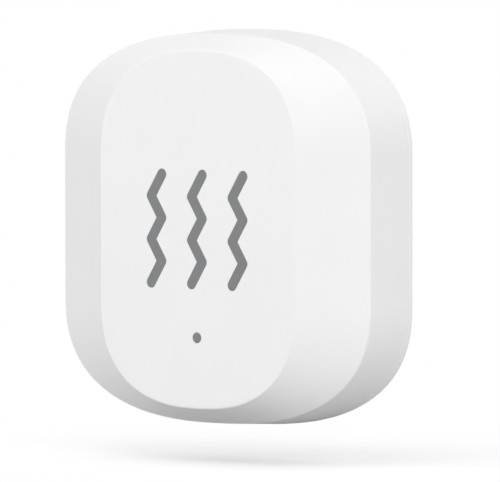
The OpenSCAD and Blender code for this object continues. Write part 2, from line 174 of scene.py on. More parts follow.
# Symbol and window, and the axis of the cell
symbol_low, symbol_high = extent("vibration_symbol")
pipe_low, pipe_high = extent("light_pipe")
STROKE_PITCH = 5.85
STROKE_SWING = 1.55
STROKE_LEGS = 5
STROKE_W = 1.3
INLAY_W = 1.26
INLAY_ROUND = 0.03
WINDOW_R = 0.625
WINDOW_FIT = 0.005
COLLAR_T = 0.8
inlay_depth = symbol_high.z - symbol_low.z
stroke_leg = (symbol_high.y - symbol_low.y - INLAY_W) / STROKE_LEGS
window_middle = middle("light_pipe")
cell_middle = middle("coin_cell_can")


# Building blocks of the meshes
def outline_shares():
    """Round the outline: shares of half width and half end, the end's sign, and how far into an end."""
    turns = [math.pi / 2 * i / QUARTER_STEPS for i in range(QUARTER_STEPS + 1)]
    quarter = [(math.cos(t) ** (2 / POWER), math.sin(t) ** (2 / POWER), math.sin(t) ** 2) for t in turns]
    back = quarter[-2::-1]
    around = []
    for across, up, steps in ((1, 1, quarter), (-1, 1, back), (-1, -1, quarter), (1, -1, back)):
        around += [(across * x, up * y, up, end) for x, y, end in steps]
    return around


AROUND = outline_shares()


def outline_ring(half_w, half_h, side_level, end_level):
    """A ring of points on the outline, whose level may differ between its sides and its ends."""
    return [
        Vector((
            half_w * x,
            up * STRAIGHT + (half_h - STRAIGHT) * y,
            side_level + (end_level - side_level) * end,
        ))
        for x, y, up, end in AROUND
    ]


def rounded_path(corners):
    """A path through (distance, level, radius) corners, with an arc for each that has a radius."""
    spots = [Vector(corner[:2]) for corner in corners]
    path = [spots[0]]
    for before, spot, after, corner in zip(spots, spots[1:], spots[2:], corners[1:]):
        radius = corner[2]
        if not radius:
            path.append(spot)
            continue
        back, on = (before - spot).normalized(), (after - spot).normalized()
        half_angle = back.angle(on) / 2
        reach = radius / math.tan(half_angle)
        centre = spot + (back + on).normalized() * radius / math.sin(half_angle)
        first, last = spot + back * reach - centre, spot + on * reach - centre
        path += [
            centre + first.lerp(last, i / ARC_STEPS).normalized() * radius for i in range(ARC_STEPS + 1)
        ]
    return path + [spots[-1]]


def shell_rings(corners):
    """Outline rings through (half width, half height, level, radius) corners."""
    side = rounded_path([(w, level, radius) for w, h, level, radius in corners])
    end = rounded_path([(h, level, radius) for w, h, level, radius in corners])
    return [outline_ring(s.x, e.x, s.y, e.y) for s, e in zip(side, end)]


def even(half, level, radius=0):
    """A corner of a shell that is as wide as it is high."""
    return half, half, level, radius


def circle(centre, radius, level, steps=ROUND_STEPS):
    """A ring of points round an upright axis."""
    x, y = centre
    turns = [2 * math.pi * i / steps for i in range(steps)]
    return [Vector((x + radius * math.cos(t), y + radius * math.sin(t), level)) for t in turns]


def turned_rings(centre, corners, steps=ROUND_STEPS):
    """Round rings about an upright axis through (radius, level, rounding) corners."""
    return [circle(centre, spot.x, spot.y, steps) for spot in rounded_path(corners)]


def skin(bm, rings, loop=False):
    """Faces between neighbouring rings, with flat ends, or joined end to end as a loop."""
    rows = [[bm.verts.new(point) for point in ring] for ring in rings]
    pairs = list(zip(rows, rows[1:]))
    if loop:
        pairs.append((rows[-1], rows[0]))
    for low, high in pairs:
        for i in range(len(low)):
            j = (i + 1) % len(low)
            bm.faces.new((low[i], low[j], high[j], high[i]))
    if not loop:
        bm.faces.new(rows[0][::-1])
        bm.faces.new(rows[-1])
    return bm


def turned(corners, centre, steps=ROUND_STEPS, loop=False, bm=None):
    """A turned solid about an upright axis, through (radius, level, rounding) corners."""
    return skin(bm or bmesh.new(), turned_rings(centre, corners, steps), loop)


def prism(outline, low, high, bm=None):
    """An upright solid over an outline of (x, y) points that runs anticlockwise."""
    return skin(bm or bmesh.new(), [[Vector((x, y, level)) for x, y in outline] for level in (low, high)])


def round_edges(bm, edges, rounding, segments, clamp=False):
    """Rounds some edges of a mesh, and where clamp is set no further than its faces have room for."""
    bmesh.ops.bevel(
        bm, geom=edges, offset=rounding, segments=segments, profile=ROUND_PROFILE, affect="EDGES",
        clamp_overlap=clamp,
    )
    return bm


def block(low, high, rounding, bm=None, segments=EDGE_STEPS):
    """A box between two corners with rounded edges."""
    made = bmesh.new()
    low, high = Vector(low), Vector(high)
    place = Matrix.LocRotScale((low + high) / 2, None, high - low)
    bmesh.ops.create_cube(made, size=1, matrix=place)
    round_edges(made, made.edges[:], rounding, segments)
    return join(bm, made) if bm else made


def join(bm, more):
    """bm with the faces of more added, which is used up."""
    mesh = bpy.data.meshes.new("joined")
    more.to_mesh(mesh)
    more.free()
    bm.from_mesh(mesh)
    bpy.data.meshes.remove(mesh)
    return bm


def scratch_object(bm):
    """A passing object with the mesh of bm, which is used up."""
    mesh = bpy.data.meshes.new("scratch")
    bm.to_mesh(mesh)
    bm.free()
    made = bpy.data.objects.new("scratch", mesh)
    bpy.context.scene.collection.objects.link(made)
    return made


def combine(bm, tool, operation):
    """The solid bm joined with, cut by or limited to the solid tool. Both are used up."""
    solid, cutter = scratch_object(bm), scratch_object(tool)
    modifier = solid.modifiers.new("combine", "BOOLEAN")
    modifier.object = cutter
    modifier.operation = operation
    modifier.solver = "EXACT"
    result = bmesh.new()
    result.from_object(solid, bpy.context.evaluated_depsgraph_get())
    for used in (solid, cutter):
        mesh = used.data
        bpy.data.objects.remove(used)
        bpy.data.meshes.remove(mesh)
    return result


BEND_STEPS = 10
SLIGHT_BEND = math.radians(10)


def stroke_outline(line, width):
    """Outline of a round-ended stroke along a line, with round outer bends and sharp inner ones."""
    half = width / 2
    points = [Vector(point) for point in line]
    outline = []
    for path in (points, points[::-1]):
        runs = [(b - a).normalized() for a, b in zip(path, path[1:])]
        lefts = [Vector((-run.y, run.x)) for run in runs]
        outline.append(path[0] + lefts[0] * half)
        for spot, before, after in zip(path[1:], lefts, lefts[1:] + [-lefts[-1]]):
            turn = -math.pi if spot is path[-1] else -before.angle_signed(after)
            if turn > -SLIGHT_BEND:
                outline.append(spot + (before + after) * half / (1 + before.dot(after)))
                continue
            arc = [turn * i / BEND_STEPS for i in range(BEND_STEPS + 1)]
            outline += [spot + Matrix.Rotation(a, 2) @ before * half for a in arc]
    distinct = [p for p, q in zip(outline, outline[1:] + outline[:1]) if (p - q).length > SAME_PLACE]
    return distinct[::-1]


def cross_outline(arm, half_w, centre=(0, 0)):
    """Outline of a plus sign, anticlockwise."""
    quarter = [Vector((arm, -half_w)), Vector((arm, half_w)), Vector((half_w, half_w))]
    return [
        Matrix.Rotation(math.pi / 2 * turn, 2) @ corner + Vector(centre)
        for turn in range(4) for corner in quarter
    ]


# Pieces that ride on a body
SHADED_SHARP = math.radians(40)


def smooth(made):
    """Smooth shading that keeps flat faces flat and sharp edges sharp."""
    made.data.shade_smooth()
    made.data.set_sharp_from_angle(angle=SHADED_SHARP)
    weighted = made.modifiers.new("flat_faces_lead", "WEIGHTED_NORMAL")
    weighted.keep_sharp = True


def piece(bm, name, finishes, body, slot, *replaces):
    """Stands a mesh up in the frame as a piece that rides on a body."""
    bm.transform(STAND_UP)
    mesh = bpy.data.meshes.new(name)
    bm.to_mesh(mesh)
    bm.free()
    for finish in finishes:
        mesh.materials.append(finish)
    made = bpy.data.objects.new(name, mesh)
    bpy.context.scene.collection.objects.link(made)
    smooth(made)
    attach(made, body)
    if replaces:
        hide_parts(*replaces)
    return made


def sensor_piece(bm, name, finishes, slot, *replaces):
    """A piece of the sensor, as all are but the cover, its pad and the button's plunger."""
    return piece(bm, name, finishes, "sensor_unit", slot, *replaces)


def paint(bm, index):
    """Gives every face of a mesh the finish of that number."""
    for face in bm.faces:
        face.material_index = index
    return bm


# Node trees: the usual range of a noise, its detail, and the wave that makes stripes
DRIFT_LOW = 0.3
DRIFT_HIGH = 0.7
DRIFT_DETAIL = 3
GRAIN_DETAIL = 2
WAVE_FACTOR = 20
STRIPE_WANDER = 0.6
STRIPE_DETAIL = 1


def node(tree, kind, inputs=None, **settings):
    """A node with its settings made, and each input set to a value or fed by a socket."""
    made = tree.nodes.new(kind)
    for key, value in settings.items():
        setattr(made, key, value)
    for key, value in (inputs or {}).items():
        if isinstance(value, bpy.types.NodeSocket):
            tree.links.new(value, made.inputs[key])
        else:
            made.inputs[key].default_value = value
    return made


def ramp(tree, factor, stops):
    """A colour that follows factor between two (place, colour) stops."""
    made = node(tree, "ShaderNodeValToRGB", {"Fac": factor})
    for element, (place, colour) in zip(made.color_ramp.elements, stops):
        element.position = place
        element.color = (*colour, 1)
    return made.outputs["Color"]


def drifting(dark, light):
    """Colour stops for a noise, which mostly stays between a low and a high value."""
    return [(DRIFT_LOW, dark), (DRIFT_HIGH, light)]


def full(dark, light):
    """Colour stops for a pattern that goes all the way from 0 to 1."""
    return [(0, dark), (1, light)]


def grey(level):
    """A colour with no tint."""
    return level, level, level


def spread(tree, factor, low, high):
    """A value that follows factor from low to high."""
    made = node(tree, "ShaderNodeMapRange", {"Value": factor, "To Min": low, "To Max": high})
    return made.outputs["Result"]


def crossed(tree, first, second, operation="MULTIPLY"):
    """Two values made into one by an operation of the Math node."""
    return node(tree, "ShaderNodeMath", {0: first, 1: second}, operation=operation).outputs[0]


def vector(tree, operation, *given):
    """A place, or its length, made by an operation of the Vector Math node."""
    made = node(tree, "ShaderNodeVectorMath", dict(enumerate(given)), operation=operation)
    return made.outputs["Value" if operation == "LENGTH" else "Vector"]


def object_place(tree):
    """Where a point is on its piece, in metres."""
    return node(tree, "ShaderNodeTexCoord").outputs["Object"]


def noise(tree, place, per_metre, detail):
    """A soft irregular pattern with so many spots to the metre."""
    made = node(tree, "ShaderNodeTexNoise", {"Vector": place, "Scale": per_metre, "Detail": detail})
    return made.outputs["Fac"]


def stripes(tree, place, direction, period):
    """Bands across X, Y or Z that wander a little, one to each period in millimetres."""
    scale = 2 * math.pi / (WAVE_FACTOR * period * MM)
    made = node(tree, "ShaderNodeTexWave", {
        "Vector": place, "Scale": scale, "Distortion": STRIPE_WANDER, "Detail": STRIPE_DETAIL
    }, bands_direction=direction)
    return made.outputs["Fac"]


def new_finish(name, plain_values=None):
    """A new material with its node tree and its shader, some of whose own sockets get plain values."""
    material = bpy.data.materials.new(name)
    material.use_nodes = True
    tree = material.node_tree
    shader = tree.nodes["Principled BSDF"]
    for socket, value in (plain_values or {}).items():
        shader.inputs[socket].default_value = value
    return material, tree, shader


def wire(tree, shader, tone, stops, roughness, height, relief):
    """Colour and roughness that follow tone, and a relief of so many millimetres that follows height."""
    tree.links.new(ramp(tree, tone, stops), shader.inputs["Base Color"])
    tree.links.new(spread(tree, tone, *roughness), shader.inputs["Roughness"])
    bump = node(tree, "ShaderNodeBump", {"Height": height, "Distance": relief * MM, "Strength": 1})
    tree.links.new(bump.outputs["Normal"], shader.inputs["Normal"])


# Effects that several finishes share, with spots or lines to the metre and a pitch in millimetres
FINE_GRAIN = 8000
PART_DRIFT = 900
METAL_LINES = 6000
METAL_DRIFT = 300
DRAWN_OUT = (0.04, 1, 1)
CLOTH_PITCH = 0.5


def effect_group(name, inputs, outputs):
    """A new node group with its named inputs and outputs."""
    group = bpy.data.node_groups.new(name, "ShaderNodeTree")
    for socket, default in inputs.items():
        made = group.interface.new_socket(socket, in_out="INPUT", socket_type="NodeSocketFloat")
        made.default_value = default
    for socket in outputs:
        group.interface.new_socket(socket, in_out="OUTPUT", socket_type="NodeSocketFloat")
    return group, group.nodes.new("NodeGroupInput").outputs, group.nodes.new("NodeGroupOutput").inputs


def placed(tree, group, inputs):
    """The outputs of a group that is placed in a finish with its own values."""
    made = node(tree, "ShaderNodeGroup", node_tree=group)
    for key, value in inputs.items():
        made.inputs[key].default_value = value
    return made.outputs


def moulding_grain_group():
    """Surface of a moulding: Tone drifts slowly over the piece, Grain is its fine relief."""
    group, given, out = effect_group(
        "moulding_grain", {"Grain per metre": FINE_GRAIN, "Drift per metre": PART_DRIFT}, ("Tone", "Grain")
    )
    place = object_place(group)
    group.links.new(noise(group, place, given["Drift per metre"], DRIFT_DETAIL), out["Tone"])
    group.links.new(noise(group, place, given["Grain per metre"], GRAIN_DETAIL), out["Grain"])
    return group


def metal_lines_group():
    """Surface of rolled sheet: Tone drifts slowly over the piece, Lines are fine streaks along it."""
    group, given, out = effect_group(
        "metal_lines", {"Lines per metre": METAL_LINES, "Drift per metre": METAL_DRIFT}, ("Tone", "Lines")
    )
    place = object_place(group)
    along = node(group, "ShaderNodeMapping", {"Vector": place, "Scale": DRAWN_OUT}).outputs["Vector"]
    group.links.new(noise(group, place, given["Drift per metre"], DRIFT_DETAIL), out["Tone"])
    group.links.new(noise(group, along, given["Lines per metre"], GRAIN_DETAIL), out["Lines"])
    return group


def glass_weave_group():
    """Glass cloth under lacquer: Weave is high where threads cross, and Depth sets how clear it is."""
    group, given, out = effect_group("glass_weave", {"Depth": 1}, ("Weave",))
    place = object_place(group)
    threads = crossed(group, *(stripes(group, place, way, CLOTH_PITCH) for way in ("X", "Z")))
    group.links.new(crossed(group, threads, given["Depth"]), out["Weave"])
    return group


moulding_grain = moulding_grain_group()
metal_lines = metal_lines_group()
glass_weave = glass_weave_group()


# Finishes: plain values of their shaders, then spots to the metre, pitches and reliefs in millimetres
BARE_METAL = {"Metallic": 1}
LACQUERED = {"Coat Weight": 0.4, "Coat Roughness": 0.15}
POLISHED = {"Coat Weight": 0.3, "Coat Roughness": 0.08}
GRAIN_RELIEF = 0.002
METAL_RELIEF = 0.001
WEAVE_RELIEF = 0.002
SPUN_RINGS = 7000
LAYER_PITCH = 0.14
LAYER_RELIEF = 0.004
FOAM_CELLS = 6500
FOAM_EDGE = 0.6
FOAM_RELIEF = 0.02
FILM_GRAIN = 5000
FILM_DRIFT = 200
FILM_SHADE = 0.9
DIAMOND_PITCH = 1.2
DIAMOND_RELIEF = 0.03
DIAMOND_SLANT = (0, math.pi / 4, 0)
WINDOW_GRAIN = 4000
WINDOW_DRIFT = 1500
WINDOW_RELIEF = 0.0008


def moulded_plastic(
    name, dark, light, roughness, grain=FINE_GRAIN, drift=PART_DRIFT, relief=GRAIN_RELIEF
):
    """A moulded surface whose tone drifts between two colours, with a fine grain."""
    material, tree, shader = new_finish(name)
    surface = placed(tree, moulding_grain, {"Grain per metre": grain, "Drift per metre": drift})
    wire(tree, shader, surface["Tone"], drifting(dark, light), roughness, surface["Grain"], relief)
    return material


def sheet_metal(name, dark, light, roughness):
    """Rolled or plated metal whose tone drifts between two colours, with fine streaks."""
    material, tree, shader = new_finish(name, BARE_METAL)
    surface = placed(tree, metal_lines, {"Lines per metre": METAL_LINES, "Drift per metre": METAL_DRIFT})
    wire(tree, shader, surface["Tone"], drifting(dark, light), roughness, surface["Lines"], METAL_RELIEF)
    return material


def spun_steel():
    """Stainless steel of the coin cell, with the fine rings that spinning leaves."""
    material, tree, shader = new_finish("spun_cell_steel", BARE_METAL)
    axis = (cell_middle.x * MM, 0, cell_middle.y * MM)
    across = (1, 0, 1)
    off_axis = vector(tree, "SUBTRACT", object_place(tree), axis)
    radius = vector(tree, "LENGTH", vector(tree, "MULTIPLY", off_axis, across))
    rings = node(tree, "ShaderNodeTexNoise", {
        "W": radius, "Scale": SPUN_RINGS, "Detail": DRIFT_DETAIL
    }, noise_dimensions="1D").outputs["Fac"]
    stops = drifting((0.54, 0.54, 0.53), (0.66, 0.66, 0.65))
    wire(tree, shader, rings, stops, (0.22, 0.34), rings, METAL_RELIEF)
    return material


def solder_mask(name, dark, light, depth):
    """Green lacquer over glass cloth, whose weave shows faintly through it."""
    material, tree, shader = new_finish(name, LACQUERED)
    weave = placed(tree, glass_weave, {"Depth": depth})["Weave"]
    wire(tree, shader, weave, full(dark, light), (0.32, 0.42), weave, WEAVE_RELIEF)
    return material


def laminate_edge():
    """Cut edge of the glass-fibre board, layer on layer."""
    material, tree, shader = new_finish("laminate_edge")
    layers = stripes(tree, object_place(tree), "Y", LAYER_PITCH)
    stops = full((0.30, 0.27, 0.12), (0.46, 0.43, 0.24))
    wire(tree, shader, layers, stops, (0.55, 0.75), layers, LAYER_RELIEF)
    return material


def foam_core():
    """Closed-cell foam of the tape, seen at its cut edge."""
    material, tree, shader = new_finish("tape_foam")
    cells = node(tree, "ShaderNodeTexVoronoi", {"Vector": object_place(tree), "Scale": FOAM_CELLS})
    walls = cells.outputs["Distance"]
    stops = [(0, (0.50, 0.50, 0.51)), (FOAM_EDGE, (0.66, 0.66, 0.67))]
    wire(tree, shader, walls, stops, (0.8, 0.95), walls, FOAM_RELIEF)
    return material


def tape_film():
    """Adhesive film on the foam, with the diamond relief of the liner that came off it."""
    material, tree, shader = new_finish("adhesive_film")
    slanted = node(tree, "ShaderNodeMapping", {"Vector": object_place(tree), "Rotation": DIAMOND_SLANT})
    lines = [stripes(tree, slanted.outputs["Vector"], way, DIAMOND_PITCH) for way in ("X", "Z")]
    diamonds = crossed(tree, *lines, "MAXIMUM")
    surface = placed(tree, moulding_grain, {"Grain per metre": FILM_GRAIN, "Drift per metre": FILM_DRIFT})
    shade = crossed(tree, diamonds, spread(tree, surface["Tone"], FILM_SHADE, 1))
    stops = full((0.57, 0.57, 0.58), (0.68, 0.68, 0.69))
    wire(tree, shader, shade, stops, (0.3, 0.5), diamonds, DIAMOND_RELIEF)
    return material


def smoked_acrylic():
    """Smoked plastic of the light window, so dark that it looks solid grey, which drifts a little."""
    material, tree, shader = new_finish("smoked_acrylic", POLISHED)
    surface = placed(
        tree, moulding_grain, {"Grain per metre": WINDOW_GRAIN, "Drift per metre": WINDOW_DRIFT}
    )
    stops = drifting((0.15, 0.153, 0.156), (0.19, 0.194, 0.197))
    wire(tree, shader, surface["Tone"], stops, (0.18, 0.26), surface["Grain"], WINDOW_RELIEF)
    return material


white_plastic = moulded_plastic(
    "white_satin_abs", grey(0.845), grey(0.86), (0.5, 0.56), drift=120, relief=0.0015
)
grey_ink = moulded_plastic("grey_inlay", (0.166, 0.172, 0.176), (0.181, 0.188, 0.192), (0.45, 0.55))
black_plastic = moulded_plastic(
    "black_moulding", (0.016, 0.016, 0.017), (0.03, 0.03, 0.031), (0.4, 0.52), drift=300
)
chip_resin = moulded_plastic("chip_resin", (0.016, 0.016, 0.018), (0.032, 0.032, 0.035), (0.5, 0.65))
button_plastic = moulded_plastic("button_plastic", (0.04, 0.04, 0.042), (0.06, 0.06, 0.063), (0.4, 0.5))
capacitor_resin = moulded_plastic("capacitor_resin", (0.62, 0.36, 0.045), (0.74, 0.46, 0.075), (0.45, 0.6))
stripe_ink = moulded_plastic("stripe_ink", (0.10, 0.045, 0.012), (0.14, 0.065, 0.02), (0.5, 0.6))
silk_ink = moulded_plastic("silk_ink", (0.72, 0.73, 0.70), (0.82, 0.83, 0.80), (0.5, 0.65))
capacitor_ceramic = moulded_plastic(
    "capacitor_ceramic", (0.36, 0.25, 0.15), (0.46, 0.33, 0.21), (0.4, 0.55), drift=1500
)
resistor_ceramic = moulded_plastic(
    "resistor_ceramic", (0.022, 0.022, 0.026), (0.04, 0.04, 0.046), (0.3, 0.45), drift=1500
)
led_ceramic = moulded_plastic("led_ceramic", (0.76, 0.76, 0.72), (0.84, 0.84, 0.8), (0.45, 0.6), drift=1500)
led_resin = moulded_plastic("led_resin", (0.82, 0.74, 0.42), (0.88, 0.82, 0.52), (0.12, 0.2), drift=1500)
electrode_paste = moulded_plastic(
    "electrode_paste", grey(0.035), (0.07, 0.07, 0.068), (0.8, 0.95), grain=4000, drift=600, relief=0.01
)
plated_steel = sheet_metal("plated_steel", (0.56, 0.55, 0.52), (0.66, 0.65, 0.62), (0.22, 0.34))
spring_steel = sheet_metal("spring_steel", (0.55, 0.55, 0.53), (0.65, 0.65, 0.63), (0.24, 0.38))
tinned_steel = sheet_metal("tinned_steel", grey(0.54), grey(0.66), (0.3, 0.46))
etched_steel = sheet_metal("etched_steel", grey(0.2), (0.27, 0.27, 0.265), (0.5, 0.65))
gold_plate = sheet_metal("gold_plate", (0.74, 0.5, 0.17), (0.84, 0.6, 0.24), (0.26, 0.38))
cell_steel = spun_steel()
mask_on_glass = solder_mask("solder_mask", (0.009, 0.112, 0.05), (0.012, 0.135, 0.062), 1)
mask_on_copper = solder_mask("solder_mask_on_copper", (0.02, 0.20, 0.09), (0.026, 0.235, 0.107), 0.6)
laminate = laminate_edge()
foam = foam_core()
film = tape_film()
smoked_window = smoked_acrylic()


# Outer pieces
def posts():
    """Four posts behind the face: two bored for screws, two with locating pins."""
    root = cavity_level + WALL / 2
    bore_end = extent("board_screws")[1].z + SCREW_ROOM
    bore_r = SCREW_R + SCREW_FIT
    pin_tip = board_back - PIN_PROUD
    bore = [(bore_r / 2, bore_end, 0), (bore_r, bore_end, FINE), (bore_r, board_front, FINE)]
    pin = [(PIN_R / 2, pin_tip, 0), (PIN_R, pin_tip, SOFT), (PIN_R, board_front, FINE)]
    post = [(POST_R, board_front, FINE), (POST_R, root, 0), (POST_R / 2, root, 0)]
    made = bmesh.new()
    for centres, core in ((SCREW_POSTS, bore), (PIN_POSTS, pin)):
        for centre in centres:
            turned(core + post, centre, bm=made)
    return made


def zigzags(width):
    """Outlines of the three zigzag strokes, each starting at its right-hand crest."""
    crests = [
        ((STROKE_SWING / 2) * (-1) ** i, (STROKE_LEGS / 2 - i) * stroke_leg)
        for i in range(STROKE_LEGS + 1)
    ]
    return [
        stroke_outline([(x + n * STROKE_PITCH, y) for x, y in crests], width) for n in (-1, 0, 1)
    ]


def bead_band(half, room, rounding):
    """A band round the outline where the snap beads are, limited to the middle of each side."""
    low, high = bead_level - BEAD_H / 2 - room, bead_level + BEAD_H / 2 + room
    inner, outer = half - RIM_WALL / 4, half + BEAD_PROUD
    band = skin(bmesh.new(), shell_rings([
        even(inner, low), even(outer, low, rounding), even(outer, high, rounding), even(inner, high),
    ]), loop=True)
    spans = cross_outline(body_half + CUT_PAST, BEAD_L / 2 + room)
    return combine(band, prism(spans, housing_back, rim_top + CUT_PAST), "INTERSECT")


def housing_moulding():
    """The white front: side wall, sloped border and flat face with the symbol's recess."""
    rear = cavity_half(housing_back)
    cavity_edge = cavity_half(cavity_edge_level)
    shell = skin(bmesh.new(), shell_rings([
        (cavity_face_w - 2 * CAP_INSET, cavity_face_h - 2 * CAP_INSET, cavity_level, 0),
        (cavity_face_w, cavity_face_h, cavity_level, INNER_ROUND),
        even(cavity_edge, cavity_edge_level, INNER_ROUND),
        even(rear, housing_back, REAR_ROUND),
        even(body_half, housing_back, REAR_ROUND),
        even(edge_half, edge_level, EDGE_ROUND),
        (face_half_w, face_half_h, face_level, FACE_ROUND),
        (face_half_w - CAP_INSET, face_half_h - CAP_INSET, face_level, 0),
    ]))
    shell = combine(shell, posts(), "UNION")
    cuts = bmesh.new()
    for outline in zigzags(STROKE_W):
        prism(outline, face_level - inlay_depth, face_level + CUT_PAST, cuts)
    window_r = WINDOW_R + WINDOW_FIT
    window = [(window_r, cavity_level - CUT_PAST, 0), (window_r, face_level + CUT_PAST, 0)]
    turned(window, window_middle, bm=cuts)
    shell = combine(shell, cuts, "DIFFERENCE")
    return combine(shell, bead_band(cavity_half(bead_level), BEAD_PROUD, 0), "DIFFERENCE")


def pin_marks():
    """Places of the shallow round marks that ejector pins leave inside the cover."""
    reach = PIN_MARK_REACH
    return [(0, 0), (reach, reach), (-reach, reach), (-reach, -reach), (reach, -reach)]


def cover_moulding():
    """The white back cover: plate with the pad's recess, lip, rim with snap beads, and a nail notch."""
    recess = pad_high.x + PAD_GAP
    rim_in = rim_half - RIM_WALL
    cover = skin(bmesh.new(), shell_rings([
        even(recess - CAP_INSET, cover_back + PAD_RECESS),
        even(recess, cover_back + PAD_RECESS, FINE),
        even(recess, cover_back, FINE),
        even(body_half, cover_back, LIP_ROUND),
        even(body_half, lip_top, LIP_ROUND),
        even(rim_half, lip_top, FINE),
        even(rim_half, rim_top, SOFT),
        even(rim_in, rim_top, SOFT),
        even(rim_in, cover_inside, RIM_FILLET),
        even(rim_in - 2 * CAP_INSET, cover_inside),
    ]))
    cover = combine(cover, bead_band(rim_half, 0, BEAD_ROUND), "UNION")
    cuts = block(
        (-NOTCH_W / 2, -body_half - CUT_PAST, cover_back + NOTCH_WEB),
        (NOTCH_W / 2, NOTCH_REACH - body_half, lip_top + SOFT),
        FINE,
    )
    mark = [(PIN_MARK_R, cover_inside - PIN_MARK_DEPTH, 0), (PIN_MARK_R, cover_inside + SOFT, 0)]
    for centre in pin_marks():
        turned(mark, centre, bm=cuts)
    return combine(cover, cuts, "DIFFERENCE")


def symbol_inlay():
    """Three zigzag inlays, flush with the face, with a fine rounding round their tops."""
    made = bmesh.new()
    for outline in zigzags(INLAY_W):
        prism(outline, face_level - inlay_depth, face_level, made)
    rims = [e for e in made.edges if all(v.co.z > face_level - SAME_PLACE for v in e.verts)]
    return round_edges(made, rims, INLAY_ROUND, segments=2)


def light_pipe_moulding():
    """Smoked window flush with the face, with a collar behind it and a stem down to the light."""
    collar_r = pipe_high.x
    collar_back = cavity_level - COLLAR_T
    return turned([
        (WINDOW_R / 2, pipe_low.z, 0), (WINDOW_R, pipe_low.z, FINE), (WINDOW_R, collar_back, FINE),
        (collar_r, collar_back, FINE), (collar_r, cavity_level, FINE), (WINDOW_R, cavity_level, CRISP),
        (WINDOW_R, face_level, CRISP), (WINDOW_R / 2, face_level, 0),
    ], window_middle)


def tape_pad():
    """Foam tape: an adhesive film on each side of a foam core that is drawn in between them."""
    half, core = pad_high.x, pad_high.x - FOAM_SET_BACK
    low, high = pad_low.z, pad_high.z
    made = skin(bmesh.new(), shell_rings([
        even(half - CAP_INSET, low),
        even(half, low, FILM_ROUND),
        even(half, low + TAPE_FILM, FILM_ROUND),
        even(core, low + TAPE_FILM + FOAM_SET_BACK / 2, CRISP),
        even(core, high - TAPE_FILM - FOAM_SET_BACK / 2, CRISP),
        even(half, high - TAPE_FILM, FILM_ROUND),
        even(half, high, FILM_ROUND),
        even(half - CAP_INSET, high),
    ]))
    for face in made.faces:
        level = face.calc_center_median().z
        face.material_index = int(low + TAPE_FILM < level < high - TAPE_FILM)
    return made


sensor_piece(housing_moulding(), "housing_moulding", [white_plastic], "white_plastic", "front_housing")
sensor_piece(symbol_inlay(), "symbol_inlay", [grey_ink], "grey_ink", "vibration_symbol")
sensor_piece(light_pipe_moulding(), "light_pipe_moulding", [smoked_window], "smoked_window", "light_pipe")
piece(cover_moulding(), "cover_moulding", [white_plastic], "wall_cover", "white_plastic", "back_cover")
pad = piece(tape_pad(), "foam_tape_pad", [film, foam], "wall_cover", "adhesive_foam", "adhesive_pad")


# Coin cell
CELL_STEPS = 128
CELL_SHEET = 0.25
CELL_ROUND = 0.5
CRIMP_W = 0.8
CRIMP_ROUND = 0.35
PRESSED_RING_INSET = 1.6
PRESSED_RING_W = 0.2
PRESSED_RING_DEPTH = 0.05
PLUS_ARM = 2.2
PLUS_HALF_W = 0.4
PLUS_DEPTH = 0.06
CAP_ROUND = 0.3
CAP_STEP_INSET = 0.9
CAP_STEP_DEPTH = 0.04
GASKET_GAP = 0.02
PELLET_JOINTS = (0.6, 0.68)
PELLET_GROOVE = 0.08


def cell_can():
    """The positive cup, with a pressed ring and a plus sign on its flat and its rim crimped over."""
    low, high = extent("coin_cell_can")
    r, back, crimp = high.x, low.z, high.z
    lip, inside = r - CRIMP_W, r - CELL_SHEET
    ring = r - PRESSED_RING_INSET
    cup = turned([
        (r / 2, back, 0), (ring - PRESSED_RING_W / 2, back, 0), (ring, back + PRESSED_RING_DEPTH, 0),
        (ring + PRESSED_RING_W / 2, back, 0), (r, back, CELL_ROUND), (r, crimp, CRIMP_ROUND),
        (lip, crimp, FINE), (lip, crimp - CELL_SHEET, CRISP), (inside, crimp - CELL_SHEET, FINE),
        (inside, back + CELL_SHEET, CELL_SHEET), (r / 2, back + CELL_SHEET, 0),
    ], cell_middle, CELL_STEPS)
    plus = cross_outline(PLUS_ARM, PLUS_HALF_W, cell_middle)
    made = combine(cup, prism(plus, back - CUT_PAST, back + PLUS_DEPTH), "DIFFERENCE")
    for face in made.faces:
        spot = face.calc_center_median()
        near_axis = (spot.xy - cell_middle).length < r / 2
        if near_axis and back + SAME_PLACE < spot.z < back + PLUS_DEPTH + SAME_PLACE:
            face.material_index = 1
    return made


def cell_gasket():
    """The ring that parts can and cap."""
    low, high = extent("coin_cell_gasket")
    outer = high.x
    inner = extent("coin_cell_cap")[1].x + GASKET_GAP
    return turned([
        (inner, (low.z + high.z) / 2, 0), (inner, low.z, CRISP), (outer, low.z, FINE),
        (outer, high.z, FINE), (inner, high.z, 0),
    ], cell_middle, CELL_STEPS, loop=True)


def cell_cap():
    """The negative lid, with rounded shoulders and a shallow step."""
    low, high = extent("coin_cell_cap")
    r, inside, step = high.x, high.x - CELL_SHEET, high.z - CAP_STEP_DEPTH
    return turned([
        (r / 2, high.z - CELL_SHEET, 0), (inside, high.z - CELL_SHEET, SOFT), (inside, low.z, 0),
        (r, low.z, CRISP), (r, high.z, CAP_ROUND), (r - CAP_STEP_INSET, high.z, 0),
        (r - CAP_STEP_INSET - FINE, step, 0), (r / 2, step, 0),
    ], cell_middle, CELL_STEPS)


def cell_electrodes():
    """Pressed pellet, separator and lithium, as one stack with a groove at each joint."""
    low, high = extent("coin_cell_electrodes")
    r, half_groove = high.x, PELLET_GROOVE / 2
    corners = [(r / 2, low.z, 0), (r, low.z, FINE)]
    for share in PELLET_JOINTS:
        level = low.z + (high.z - low.z) * share
        corners += [(r, level - half_groove, 0), (r - PELLET_GROOVE, level, 0), (r, level + half_groove, 0)]
    return turned(corners + [(r, high.z, FINE), (r / 2, high.z, 0)], cell_middle, CELL_STEPS)


